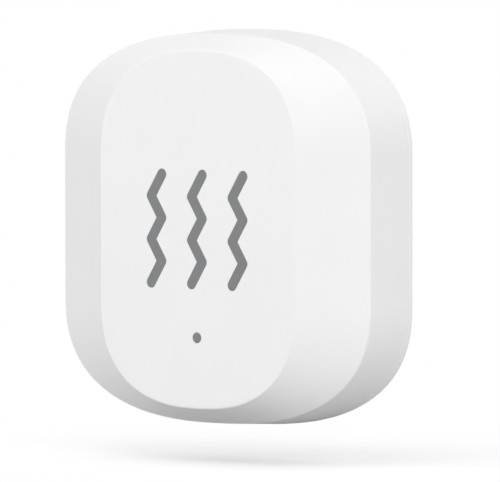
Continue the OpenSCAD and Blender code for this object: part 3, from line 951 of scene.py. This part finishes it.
sensor_piece(cell_can(), "cell_can", [cell_steel, etched_steel], "cell_steel", "coin_cell_can")
sensor_piece(cell_gasket(), "cell_gasket", [black_plastic], "black_plastic", "coin_cell_gasket")
sensor_piece(cell_cap(), "cell_cap", [cell_steel], "cell_steel", "coin_cell_cap")
sensor_piece(
    cell_electrodes(), "cell_electrodes", [electrode_paste], "electrode_paste", "coin_cell_electrodes"
)


# Holder, contacts, antenna and the sheet parts of the button
FLAT_WITHIN = math.radians(1)
SHARP_FROM = math.radians(30)


def eased(solid, rounding):
    """A solid's own mesh with its flat faces made whole and its sharp edges rounded."""
    bm = bmesh.new()
    bm.from_mesh(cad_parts[solid].data)
    bm.transform(STAND_UP.inverted())
    bmesh.ops.remove_doubles(bm, verts=bm.verts[:], dist=SAME_PLACE)
    bmesh.ops.dissolve_limit(bm, angle_limit=FLAT_WITHIN, verts=bm.verts[:], edges=bm.edges[:])
    sharp = [e for e in bm.edges if len(e.link_faces) == 2 and e.calc_face_angle() > SHARP_FROM]
    return round_edges(bm, sharp, rounding, segments=2, clamp=True)


for solid, finish, slot, rounding in (
    ("battery_holder", black_plastic, "black_plastic", 0.08),
    ("positive_contact", spring_steel, "spring_steel", 0.04),
    ("negative_contact", spring_steel, "spring_steel", 0.04),
    ("button_base", black_plastic, "black_plastic", 0.05),
    ("button_frame", tinned_steel, "tinned_steel", 0.06),
    ("button_terminals", tinned_steel, "tinned_steel", 0.04),
    ("antenna_trace", gold_plate, "gold_plated_copper", 0.01),
):
    sensor_piece(eased(solid, rounding), solid + "_eased", [finish], slot, solid)


# Moving parts of the button
DOME_SHEET = 0.08
DOME_STEPS = 12
FLANGE_W = 0.5
FLANGE_T = 0.2
dome_low, dome_high = extent("button_dome")


def snap_dome():
    """The button's thin spring: a cap of a sphere that stands on its rim, crown towards the plunger."""
    rise = dome_high.z - dome_low.z
    outer = (dome_high.x ** 2 + rise ** 2) / (2 * rise)
    level = dome_low.z + outer
    rings = []
    for r, steps in ((outer, range(1, DOME_STEPS + 1)), (outer - DOME_SHEET, range(DOME_STEPS, 0, -1))):
        widest = math.acos((level - dome_high.z) / r)
        for step in steps:
            slant = widest * step / DOME_STEPS
            rings.append(circle(middle("button_dome"), r * math.sin(slant), level - r * math.cos(slant)))
    return skin(bmesh.new(), rings)


def plunger():
    """The button's round plunger, with a flange that keeps it in its frame."""
    low, high = extent("reset_plunger")
    flange_r, r = high.x, high.x - FLANGE_W
    flange_back = high.z - FLANGE_T
    return turned([
        (r / 2, low.z, 0), (r, low.z, SOFT), (r, flange_back, CRISP), (flange_r, flange_back, CRISP),
        (flange_r, high.z, CRISP), (r / 2, high.z, 0),
    ], middle("reset_plunger"))


dome = sensor_piece(snap_dome(), "snap_dome", [spring_steel], "spring_steel", "button_dome")
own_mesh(dome)
piece(plunger(), "plunger", [button_plastic], "reset_button", "button_plastic", "reset_plunger")


# Boards
BOARD_ROUND = 0.04
UPRIGHT = 0.7
HOLE_ROOM = 0.1
RING_W = 0.85
COPPER = 0.03
TRACK_W = 0.4
VIA_R = 0.42
VIA_T = 0.04
SILK_W = 0.18
SILK_T = 0.015
SILK_ROOM = 0.35
SILK_STEPS = 30
HOLDER_ARC = (math.radians(105), math.radians(255))
LEGEND_PLUS = (4.4, 17.4)
LEGEND_PLUS_ARM = 0.7

# Rows of chips, and the contacts on the edges of the radio module
CHIP_ROWS = ("chip_capacitors", "chip_resistors")
CHIP_COUNT = 4
CHIP_W = 0.8
CHIP_PITCH = 1.8
EDGE_PADS = 9
EDGE_PAD_START = 1.2
EDGE_PAD_PITCH = 1.3
EDGE_PAD_L = 0.85
EDGE_PAD_HALF_W = 0.4
EDGE_HOLE_R = 0.3
PAD_ROUND = 0.01

# Tracks on the back of the main board, by what they join
PAD_TO_PAD = (
    ((0, -9.6), (-1.3, -10.9), (-4.6, -10.9), (-5.6, -11.9), (-5.6, -12.6)),
    (
        (-2.2, 17.2), (-9.4, 17.2), (-14.2, 12.4), (-14.2, -5.5), (-7.75, -11.95), (-7.75, -16.6),
        (-6.8, -16.6),
    ),
)
PAD_TO_VIA = (
    ((2.9, -13), (4.4, -13), (6.9, -10.5), (11.8, -10.5), (14.6, -7.7), (14.6, 3)),
    ((2.9, -16), (5, -16), (7, -18), (10.6, -18)),
    ((-3.4, -16.3), (-4.6, -17.5), (-4.6, -18.3)),
)
VIA_TO_VIA = (
    ((14.2, 6.6), (16, 4.8), (16, -8.4), (13.4, -11)),
    ((13.6, 9.2), (17.4, 5.4), (17.4, -9), (14.6, -11.8)),
    ((-15.6, 9), (-15.6, -6.2), (-17.2, -7.8)),
    ((-16.9, 6.4), (-16.9, -4), (-18.2, -5.3)),
)

# Reach of the tracks on its front: from the module in turn, past the chips, and from the light
FAN_REACH = (0.9, 1.5, 2.1)
RAIL_PAST = 0.8
LEAD_REACH = 2

# Solder: its thickness, and the half widths of its pats
SOLDER_T = 0.14
SOLDER_SINK = 0.02
SOLDER_ROUND = 0.07
SOLDER_GAP = 0.02
UPPER_FOOT = (2.2, 0.35)
LOWER_FOOT = (1.5, 0.35)
BUTTON_FOOT = (0.3, 0.45)
BUTTON_FOOT_INSET = 0.35
CHIP_FOOT = (CHIP_W / 2, 0.15)


def paint_upright(bm, index):
    """Gives the faces that stand upright on a board, its cut edges, the finish of that number."""
    bm.normal_update()
    for face in bm.faces:
        if abs(face.normal.z) < UPRIGHT:
            face.material_index = index
    return bm


def main_board():
    """The main board, with holes for the screws and the locating pins."""
    inset = board_half - CAP_INSET
    board = skin(bmesh.new(), shell_rings([
        even(inset, board_back), even(board_half, board_back, BOARD_ROUND),
        even(board_half, board_front, BOARD_ROUND), even(inset, board_front),
    ]))
    holes = bmesh.new()
    for centres, r in ((SCREW_POSTS, SCREW_R), (PIN_POSTS, PIN_R)):
        hole = [(r + HOLE_ROOM, board_back - CUT_PAST, 0), (r + HOLE_ROOM, board_front + CUT_PAST, 0)]
        for centre in centres:
            turned(hole, centre, bm=holes)
    return paint_upright(combine(board, holes, "DIFFERENCE"), 1)


def strip(line, width, level, height, bm):
    """A flat track along a line on a board face, which lies lower where height is negative."""
    low, high = sorted((level, level + height))
    return prism(stroke_outline(line, width), low, high, bm)


def flat_ring(centre, inner, outer, level, height, bm, steps=SMALL_STEPS):
    """A thin flat ring on a board face, which lies lower where height is negative."""
    low, high = sorted((level, level + height))
    return turned([
        (inner, (low + high) / 2, 0), (inner, low, 0), (outer, low, 0), (outer, high, 0), (inner, high, 0),
    ], centre, steps, loop=True, bm=bm)


def rear_vias():
    """Where the tracks on the back go through the board."""
    ends = [line[-1] for line in PAD_TO_VIA]
    return ends + [end for line in VIA_TO_VIA for end in (line[0], line[-1])]


def chip_spots(solid):
    """Lowest and highest corner of each chip in a row."""
    low, high = extent(solid)
    lefts = [low.x + i * CHIP_PITCH for i in range(CHIP_COUNT)]
    return [(Vector((x, low.y, low.z)), Vector((x + CHIP_W, high.y, high.z))) for x in lefts]


def module_contacts():
    """Middles of the radio module's half holes, each with its way out of the module along x."""
    low, high = extent("radio_board")
    return [
        (x, low.y + EDGE_PAD_START + i * EDGE_PAD_PITCH, out)
        for x, out in ((low.x, -1), (high.x, 1))
        for i in range(EDGE_PADS)
    ]


def front_lines():
    """Tracks on the front: out of the module, along both ends of the chips, and from the light."""
    lines = []
    for i, (x, y, out) in enumerate(module_contacts()):
        lines.append(((x, y), (x + out * FAN_REACH[i % len(FAN_REACH)], y)))
    beside_sensor = extent("accelerometer")[1].x + TRACK_W
    for solid in CHIP_ROWS:
        low, high = extent(solid)
        side = math.copysign(1, low.x)
        far = max(abs(low.x), abs(high.x)) + RAIL_PAST
        for y in (low.y - TRACK_W / 2, high.y + TRACK_W / 2):
            lines.append(((side * beside_sensor, y), (side * far, y)))
    low, high = extent("status_led")
    y = window_middle.y
    for x, out in ((low.x, -1), (high.x, 1)):
        lines.append(((x + out * TRACK_W, y), (x + out * LEAD_REACH, y)))
    return lines


def board_tracks():
    """Copper tracks under the lacquer, on both faces of the board."""
    made = bmesh.new()
    for line in PAD_TO_PAD + PAD_TO_VIA + VIA_TO_VIA:
        strip(line, TRACK_W, board_back, -COPPER, made)
    for line in front_lines():
        strip(line, TRACK_W, board_front, COPPER, made)
    return made


def board_pads():
    """Bare plated copper: a ring under each screw head, and a ring round each end of the vias."""
    made = bmesh.new()
    hole_r = SCREW_R + HOLE_ROOM
    for centre in SCREW_POSTS:
        flat_ring(centre, hole_r, hole_r + RING_W, board_back, -COPPER, made, ROUND_STEPS)
    for centre in rear_vias():
        flat_ring(centre, VIA_R / 2, VIA_R, board_back, -VIA_T, made)
    for centre in rear_vias() + [line[-1] for line in front_lines()]:
        flat_ring(centre, VIA_R / 2, VIA_R, board_front, VIA_T, made)
    return made


def board_legend():
    """Printed lines round the holder and beside the button and the capacitor, and a plus sign."""
    made = bmesh.new()
    holder_r = extent("battery_holder")[1].x + SILK_ROOM
    start, end = HOLDER_ARC
    turns = [start + (end - start) * i / SILK_STEPS for i in range(SILK_STEPS + 1)]
    arc = [cell_middle + holder_r * Vector((math.cos(t), math.sin(t))) for t in turns]
    lines = [arc, [(-x, y) for x, y in arc]]
    for solid in ("bulk_capacitor", "button_frame"):
        low, high = extent(solid)
        for y in (low.y - SILK_ROOM, high.y + SILK_ROOM):
            lines.append([(low.x - SILK_ROOM, y), (high.x + SILK_ROOM, y)])
    for line in lines:
        strip(line, SILK_W, board_back, -SILK_T, made)
    plus = cross_outline(LEGEND_PLUS_ARM, SILK_W / 2, LEGEND_PLUS)
    return prism(plus, board_back - SILK_T, board_back, made)


def solder_pat(x, y, half_size, level, height, bm):
    """A pat of solder that is sunk a little into what it lies on."""
    low, high = sorted((level - math.copysign(SOLDER_SINK, height), level + height))
    half_x, half_y = half_size
    return block((x - half_x, y - half_y, low), (x + half_x, y + half_y, high), SOLDER_ROUND, bm)


def rear_solder(bm):
    """Solder at the feet of the cell's contacts and of the button."""
    solder_pat(0, extent("positive_contact")[1].y, UPPER_FOOT, board_back, -SOLDER_T, bm)
    solder_pat(0, extent("negative_contact")[0].y, LOWER_FOOT, board_back, -SOLDER_T, bm)
    low, high = extent("button_terminals")
    for x in (low.x, high.x):
        for y in (low.y + BUTTON_FOOT_INSET, high.y - BUTTON_FOOT_INSET):
            solder_pat(x, y, BUTTON_FOOT, board_back, -SOLDER_T, bm)
    return bm


def front_solder(bm):
    """Solder at both ends of each chip, and a cone of it in each of the module's half holes."""
    base = board_front + COPPER
    top = extent("radio_board")[1].z - SOFT
    reach = CHIP_FOOT[1]
    for solid in CHIP_ROWS:
        for low, high in chip_spots(solid):
            for y in (low.y - reach, high.y + reach):
                solder_pat((low.x + high.x) / 2, y, CHIP_FOOT, base, SOLDER_T, bm)
    cone = [
        (EDGE_HOLE_R - SOLDER_GAP, base, 0), (EDGE_HOLE_R / 2, (base + top) / 2, 0),
        (EDGE_HOLE_R / 3, top, 0),
    ]
    for x, y, _ in module_contacts():
        turned(cone, (x, y), SMALL_STEPS, bm=bm)
    return bm


sensor_piece(main_board(), "main_board", [mask_on_glass, laminate], "board_laminate", "circuit_board")
sensor_piece(board_tracks(), "board_tracks", [mask_on_copper], "board_laminate")
sensor_piece(board_pads(), "board_pads", [gold_plate], "gold_plated_copper")
sensor_piece(board_legend(), "board_legend", [silk_ink], "board_laminate")
sensor_piece(front_solder(rear_solder(bmesh.new())), "solder_joints", [tinned_steel], "tinned_steel")


# Screws
HEAD_ROUND = 0.5
SCREW_TIP = 0.1
THREAD_PITCH = 0.4
THREAD_DEPTH = 0.14
RINGS_PER_PITCH = 8
SLOT_ARM = 1.1
SLOT_HALF_W = 0.25
SLOT_DEPTH = 0.7


def thread_rings(centre, core, start, end):
    """Rings of a thread that climbs from one level to another and fades at both ends."""
    count = int((end - start) / THREAD_PITCH * RINGS_PER_PITCH)
    rings = []
    for k in range(1, count):
        level = start + k * THREAD_PITCH / RINGS_PER_PITCH
        fade = min(1, k / RINGS_PER_PITCH, (count - k) / RINGS_PER_PITCH)
        ring = []
        for i in range(ROUND_STEPS):
            turn = 2 * math.pi * i / ROUND_STEPS
            phase = (k / RINGS_PER_PITCH - i / ROUND_STEPS) % 1
            r = core + THREAD_DEPTH * fade * (1 - abs(2 * phase - 1))
            ring.append(Vector((centre[0] + r * math.cos(turn), centre[1] + r * math.sin(turn), level)))
        rings.append(ring)
    return rings


def board_screw(centre):
    """A pan-head screw with a cross slot and a real thread, whose head sits on the board's copper."""
    low, high = extent("board_screws")
    head_r = high.x - POST_X
    core = SCREW_R - THREAD_DEPTH
    seat = board_back - COPPER
    tip = high.z - SCREW_TIP
    rings = turned_rings(centre, [
        (head_r / 2, low.z, 0), (head_r, low.z, HEAD_ROUND), (head_r, seat, FINE), (core, seat, 0),
    ])
    rings += thread_rings(centre, core, seat, tip)
    rings += turned_rings(centre, [(core, tip, 0), (core / 2, high.z, 0)])
    slot = prism(cross_outline(SLOT_ARM, SLOT_HALF_W, centre), low.z - CUT_PAST, low.z + SLOT_DEPTH)
    return combine(skin(bmesh.new(), rings), slot, "DIFFERENCE")


screws = join(*(board_screw(centre) for centre in SCREW_POSTS))
sensor_piece(screws, "pan_head_screws", [plated_steel], "plated_steel", "board_screws")


# Radio module
VENTS = 6
VENT_PITCH = 1.8
VENT_R = 0.35
SHIELD_SHEET = 0.2
SHIELD_ROUND = 0.25
CRYSTAL_BASE = 0.35
LID_INSET = 0.15

# Chip packages: roundings and thicknesses, then shares of the chip's side or of the lead's pitch
CHIP_ROUND = 0.06
LEAD_IN = 0.2
LEAD_T = 0.2
LEAD_PROUD = 0.015
LEAD_SPAN = 0.8
LEAD_HALF_W = 0.3
DOT_INSET = 0.18
DOT_R = 0.06


def radio_module_board():
    """The module's board, with a plated half hole at each contact on its two long edges."""
    low, high = extent("radio_board")
    holes = bmesh.new()
    hole = [(EDGE_HOLE_R, low.z - CUT_PAST, 0), (EDGE_HOLE_R, high.z + CUT_PAST, 0)]
    for x, y, _ in module_contacts():
        turned(hole, (x, y), SMALL_STEPS, bm=holes)
    board = combine(block(low, high, BOARD_ROUND, segments=2), holes, "DIFFERENCE")
    for face in paint_upright(board, 1).faces:
        from_edge = min(abs(face.calc_center_median().x - x) for x in (low.x, high.x))
        if face.material_index == 1 and BOARD_ROUND / 2 < from_edge < EDGE_HOLE_R:
            face.material_index = 2
    return board


def module_pads():
    """Gold contacts beside the module's half holes."""
    level = extent("radio_board")[1].z
    made = bmesh.new()
    for x, y, out in module_contacts():
        left, right = sorted((x - out * EDGE_HOLE_R, x - out * EDGE_PAD_L))
        low = (left, y - EDGE_PAD_HALF_W, level)
        high = (right, y + EDGE_PAD_HALF_W, level + COPPER)
        block(low, high, PAD_ROUND, made, segments=1)
    return made


def shield_can():
    """Tinned lid over the radio, with rounded edges and rows of small vents."""
    low, high = extent("radio_shield")
    sheet = Vector((SHIELD_SHEET, SHIELD_SHEET, SHIELD_SHEET))
    hollow = block(low + sheet - Vector((0, 0, CUT_PAST)), high - sheet, FINE)
    can = combine(block(low, high, SHIELD_ROUND), hollow, "DIFFERENCE")
    vents = bmesh.new()
    vent = [(VENT_R, high.z - 2 * SHIELD_SHEET, 0), (VENT_R, high.z + CUT_PAST, 0)]
    rows = [(i - (VENTS - 1) / 2) * VENT_PITCH for i in range(VENTS)]
    for x in rows:
        for y in rows:
            turned(vent, middle("radio_shield") + Vector((x, y)), SMALL_STEPS, bm=vents)
    return combine(can, vents, "DIFFERENCE")


def leadless_chip(solid, leads_per_side):
    """A moulded chip with a dimple at its first contact and a row of contacts along each side."""
    low, high = extent(solid)
    side = high.x - low.x
    pitch = side * LEAD_SPAN / leads_per_side
    dot = (low.x + side * DOT_INSET, high.y - side * DOT_INSET)
    dimple = turned(
        [(side * DOT_R, high.z - CRISP, 0), (side * DOT_R, high.z + CUT_PAST, 0)], dot, SMALL_STEPS
    )
    leads = bmesh.new()
    for turn in range(4):
        spin = Matrix.Rotation(math.pi / 2 * turn, 2)
        for i in range(leads_per_side):
            along = (i - (leads_per_side - 1) / 2) * pitch
            near = spin @ Vector((side / 2 - LEAD_IN, along - pitch * LEAD_HALF_W)) + middle(solid)
            far = spin @ Vector((side / 2 + LEAD_PROUD, along + pitch * LEAD_HALF_W)) + middle(solid)
            left, right = sorted((near.x, far.x))
            lower, upper = sorted((near.y, far.y))
            block((left, lower, low.z), (right, upper, low.z + LEAD_T), PAD_ROUND, leads, segments=1)
    return join(combine(block(low, high, CHIP_ROUND), dimple, "DIFFERENCE"), paint(leads, 1))


def crystal_can():
    """A ceramic base with a seam-welded metal lid."""
    low, high = extent("radio_crystal")
    made = paint(block(low, (high.x, high.y, low.z + CRYSTAL_BASE), CHIP_ROUND), 1)
    lid_low = low + Vector((LID_INSET, LID_INSET, CRYSTAL_BASE - CRISP))
    return block(lid_low, high - Vector((LID_INSET, LID_INSET, 0)), FINE, made)


sensor_piece(
    radio_module_board(), "radio_module_board", [mask_on_glass, laminate, gold_plate], "board_laminate",
    "radio_board",
)
sensor_piece(module_pads(), "module_pads", [gold_plate], "gold_plated_copper")
sensor_piece(shield_can(), "shield_can", [tinned_steel], "tinned_steel", "radio_shield")
for solid, leads_per_side in (("radio_chip", 8), ("accelerometer", 4)):
    package = leadless_chip(solid, leads_per_side)
    sensor_piece(package, solid + "_package", [chip_resin, tinned_steel], "chip_resin", solid)
sensor_piece(
    crystal_can(), "crystal_can", [tinned_steel, capacitor_ceramic], "tinned_steel", "radio_crystal"
)


# Small parts
CHIP_END = 0.3
CHIP_BODY_INSET = Vector((0.03, CHIP_END - CRISP, 0.02))
CHIP_BODY_ROUND = 0.04
RESIN_INSET = 0.12
FOOT_INSET = 0.3
FOOT_L = 0.5
FOOT_H = 0.9
STRIPE_INSET = 0.15
STRIPE_START = 0.85
STRIPE_END = 0.3
STRIPE_PROUD = 0.012
LED_FOOT_L = 0.35
LED_FOOT_T = 0.12
LENS_ROUND = 0.14
LENS_STEPS = 5


def chip_row(solid):
    """A row of ceramic chips, each with a tinned cap on both ends."""
    made = bmesh.new()
    for low, high in chip_spots(solid):
        block(low + CHIP_BODY_INSET, high - CHIP_BODY_INSET, CHIP_BODY_ROUND, made)
        for near in (low.y, high.y - CHIP_END):
            cap = block((low.x, near, low.z), (high.x, near + CHIP_END, high.z), CHIP_ROUND)
            join(made, paint(cap, 1))
    return made


def bulk_capacitor():
    """A moulded capacitor with folded terminals and a stripe at its positive end."""
    low, high = extent("bulk_capacitor")
    made = block(low + Vector((0, RESIN_INSET, 0)), high - Vector((0, RESIN_INSET, CRISP)), RESIN_INSET)
    stripe = block(
        (low.x + STRIPE_INSET, high.y - STRIPE_START, low.z - STRIPE_PROUD),
        (high.x - STRIPE_INSET, high.y - STRIPE_END, low.z + FINE),
        PAD_ROUND,
    )
    join(made, paint(stripe, 2))
    for near in (low.y, high.y - FOOT_L):
        foot = block(
            (low.x + FOOT_INSET, near, high.z - FOOT_H), (high.x - FOOT_INSET, near + FOOT_L, high.z), CRISP
        )
        join(made, paint(foot, 1))
    return made


def led_base():
    """The light's ceramic cup, with a plated foot at each end."""
    low, high = extent("status_led")
    made = block(low, high, BOARD_ROUND)
    for left in (low.x - PAD_ROUND, high.x - LED_FOOT_L + PAD_ROUND):
        foot_low = (left, low.y + CRISP, low.z)
        foot_high = (left + LED_FOOT_L, high.y - CRISP, low.z + LED_FOOT_T)
        join(made, paint(block(foot_low, foot_high, PAD_ROUND, segments=1), 1))
    return made


def led_lens():
    """The light's lens, with rounded shoulders."""
    low, high = extent("status_led_lens")
    return block(low, high, LENS_ROUND, segments=LENS_STEPS)


sensor_piece(
    chip_row("chip_capacitors"), "capacitor_row", [capacitor_ceramic, tinned_steel], "capacitor_ceramic",
    "chip_capacitors",
)
sensor_piece(
    chip_row("chip_resistors"), "resistor_row", [resistor_ceramic, tinned_steel], "resistor_ceramic",
    "chip_resistors",
)
sensor_piece(
    bulk_capacitor(), "moulded_capacitor", [capacitor_resin, tinned_steel, stripe_ink], "capacitor_resin",
    "bulk_capacitor",
)
sensor_piece(led_base(), "led_base", [led_ceramic, gold_plate], "led_ceramic", "status_led")
sensor_piece(led_lens(), "led_lens", [led_resin], "led_resin", "status_led_lens")


# Camera, at the photograph's viewing angle
VIEW_TURN = math.radians(38.436)
VIEW_RISE = math.radians(2.637)
VIEW_ROLL = math.radians(-0.04)
VIEW_DISTANCE = 847
FOCAL_LENGTH = 538
AIM_RIGHT = 3.94
AIM_DOWN = 1.42
VIEW_END = 100


def studio_camera():
    """A long lens to the right of the face and a little above it, aimed just beside the tag's middle."""
    right = Vector((math.cos(VIEW_TURN), math.sin(VIEW_TURN), 0))
    back = Vector((
        math.sin(VIEW_TURN) * math.cos(VIEW_RISE),
        -math.cos(VIEW_TURN) * math.cos(VIEW_RISE),
        math.sin(VIEW_RISE),
    ))
    up = back.cross(right)
    seam = Vector((0, -edge_level, 0))
    spot = seam + back * VIEW_DISTANCE
    away = (spot - (seam + right * AIM_RIGHT - up * AIM_DOWN)).normalized()
    across = up.cross(away).normalized()
    axes = Matrix((across, away.cross(across), away)).transposed().to_4x4()
    data = bpy.data.cameras.new("studio_camera")
    data.lens = FOCAL_LENGTH
    data.clip_end = VIEW_END
    made = bpy.data.objects.new("studio_camera", data)
    bpy.context.scene.collection.objects.link(made)
    made.matrix_world = Matrix.Translation(spot * MM) @ axes @ Matrix.Rotation(VIEW_ROLL, 4, "Z")
    bpy.context.scene.camera = made


# Studio, in metres: white surroundings, a pale floor that keeps the shadow and holds a patch of painted
# shade under the tag, and soft lamps
FLOOR_LEVEL = -0.0266
FLOOR_HALF = 8
FLOOR_KEEPS = 0.77
FLOOR_LIT = 0.91
FLOOR_BOUNCE = 0.475
SHADOW_REACH = 0.06
AMBIENT = 0.58
WHITE = (1, 1, 1, 1)

# Patch of painted shade on the floor under the tag, which gives back no light and so darkens the tag's
# underside: its middle, its half sizes, and the shares of them where it fades
PAINTED_SHADE_MIDDLE = (0.003, 0.0015, 0)
PAINTED_SHADE_HALF = (0.011, 0.0075, 1)
PAINTED_SHADE_FADE = (0.8, 1.2)


def seen_directly(tree):
    """1 for rays that show a surface or its mirror image, 0 for rays that light one."""
    rays = node(tree, "ShaderNodeLightPath").outputs
    shown = rays["Is Camera Ray"]
    for more in ("Is Glossy Ray", "Is Transmission Ray"):
        shown = crossed(tree, shown, rays[more], "MAXIMUM")
    return shown


def fading(tree, place, near, far, first, last):
    """A value that goes softly from first to last as a place moves out from a near to a far reach."""
    made = node(tree, "ShaderNodeMapRange", {
        "Value": vector(tree, "LENGTH", place), "From Min": near, "From Max": far,
        "To Min": first, "To Max": last,
    }, interpolation_type="SMOOTHSTEP")
    return made.outputs["Result"]


def floor_bounce_with_painted_shade(tree):
    """Share of the light that the floor gives back, with none in a patch of painted shade right under the
    tag.
    """
    off = vector(tree, "SUBTRACT", object_place(tree), PAINTED_SHADE_MIDDLE)
    return fading(tree, vector(tree, "DIVIDE", off, PAINTED_SHADE_HALF), *PAINTED_SHADE_FADE, 0, FLOOR_BOUNCE)


def pale_floor():
    """A finish that glows white where it is seen, less the share by which the lamps light it."""
    material, tree, shader = new_finish("pale_floor")
    tree.nodes.remove(shader)
    near = fading(tree, object_place(tree), 0, SHADOW_REACH, 1, 0)
    seen = seen_directly(tree)
    # For lighting rays the floor gives back FLOOR_BOUNCE, except in a patch of painted shade right under
    # the tag, where it gives back none
    tint = node(tree, "ShaderNodeMix", {
        "Factor": seen, "A": floor_bounce_with_painted_shade(tree), "B": spread(tree, near, 0, FLOOR_KEEPS)
    }).outputs["Result"]
    glow = crossed(tree, seen, spread(tree, near, 1, 1 - FLOOR_KEEPS * FLOOR_LIT))
    lit = node(tree, "ShaderNodeBsdfDiffuse", {"Color": tint})
    white = node(tree, "ShaderNodeEmission", {"Color": WHITE, "Strength": glow})
    both = node(tree, "ShaderNodeAddShader", {0: lit.outputs[0], 1: white.outputs[0]})
    tree.links.new(both.outputs[0], tree.nodes["Material Output"].inputs["Surface"])
    return material


def studio_floor():
    """A plain pale floor under the tag."""
    bm = bmesh.new()
    bmesh.ops.create_grid(bm, x_segments=1, y_segments=1, size=FLOOR_HALF)
    mesh = bpy.data.meshes.new("studio_floor")
    bm.to_mesh(mesh)
    bm.free()
    mesh.materials.append(pale_floor())
    made = bpy.data.objects.new("studio_floor", mesh)
    made.location.z = FLOOR_LEVEL
    bpy.context.scene.collection.objects.link(made)


def studio_world():
    """White where it is seen, and a plain ambient light elsewhere."""
    world = bpy.data.worlds.new("studio_surroundings")
    world.use_nodes = True
    tree = world.node_tree
    ambient = tree.nodes["Background"]
    ambient.inputs["Color"].default_value = WHITE
    ambient.inputs["Strength"].default_value = AMBIENT
    white = node(tree, "ShaderNodeBackground", {"Color": WHITE, "Strength": 1})
    mixed = node(tree, "ShaderNodeMixShader", {
        "Fac": seen_directly(tree), 1: ambient.outputs[0], 2: white.outputs[0]
    })
    tree.links.new(mixed.outputs[0], tree.nodes["World Output"].inputs["Surface"])
    bpy.context.scene.world = world


def softbox(name, direction, size, power):
    """A square soft lamp, 1 m off, that looks at the tag, with its size in metres and power in watts."""
    data = bpy.data.lights.new(name, "AREA")
    data.size = size
    data.energy = power
    made = bpy.data.objects.new(name, data)
    bpy.context.scene.collection.objects.link(made)
    made.location = Vector(direction).normalized()
    made.rotation_euler = made.location.to_track_quat("Z", "Y").to_euler()


studio_camera()
studio_floor()
studio_world()
softbox("left_softbox", (-0.63, -0.73, 0.26), 0.5, 2.97)
softbox("right_softbox", (0.84, -0.49, 0.23), 0.5, 4.2)
softbox("high_softbox", (0.2, -0.54, 0.82), 0.7, 1.5)
softbox("rear_softbox", (0, 0.76, 0.65), 0.7, 0.8)
softbox("back_softbox", (0, 0.99, 0.12), 0.7, 1.8)

bpy.context.scene.view_settings.view_transform = "Standard"
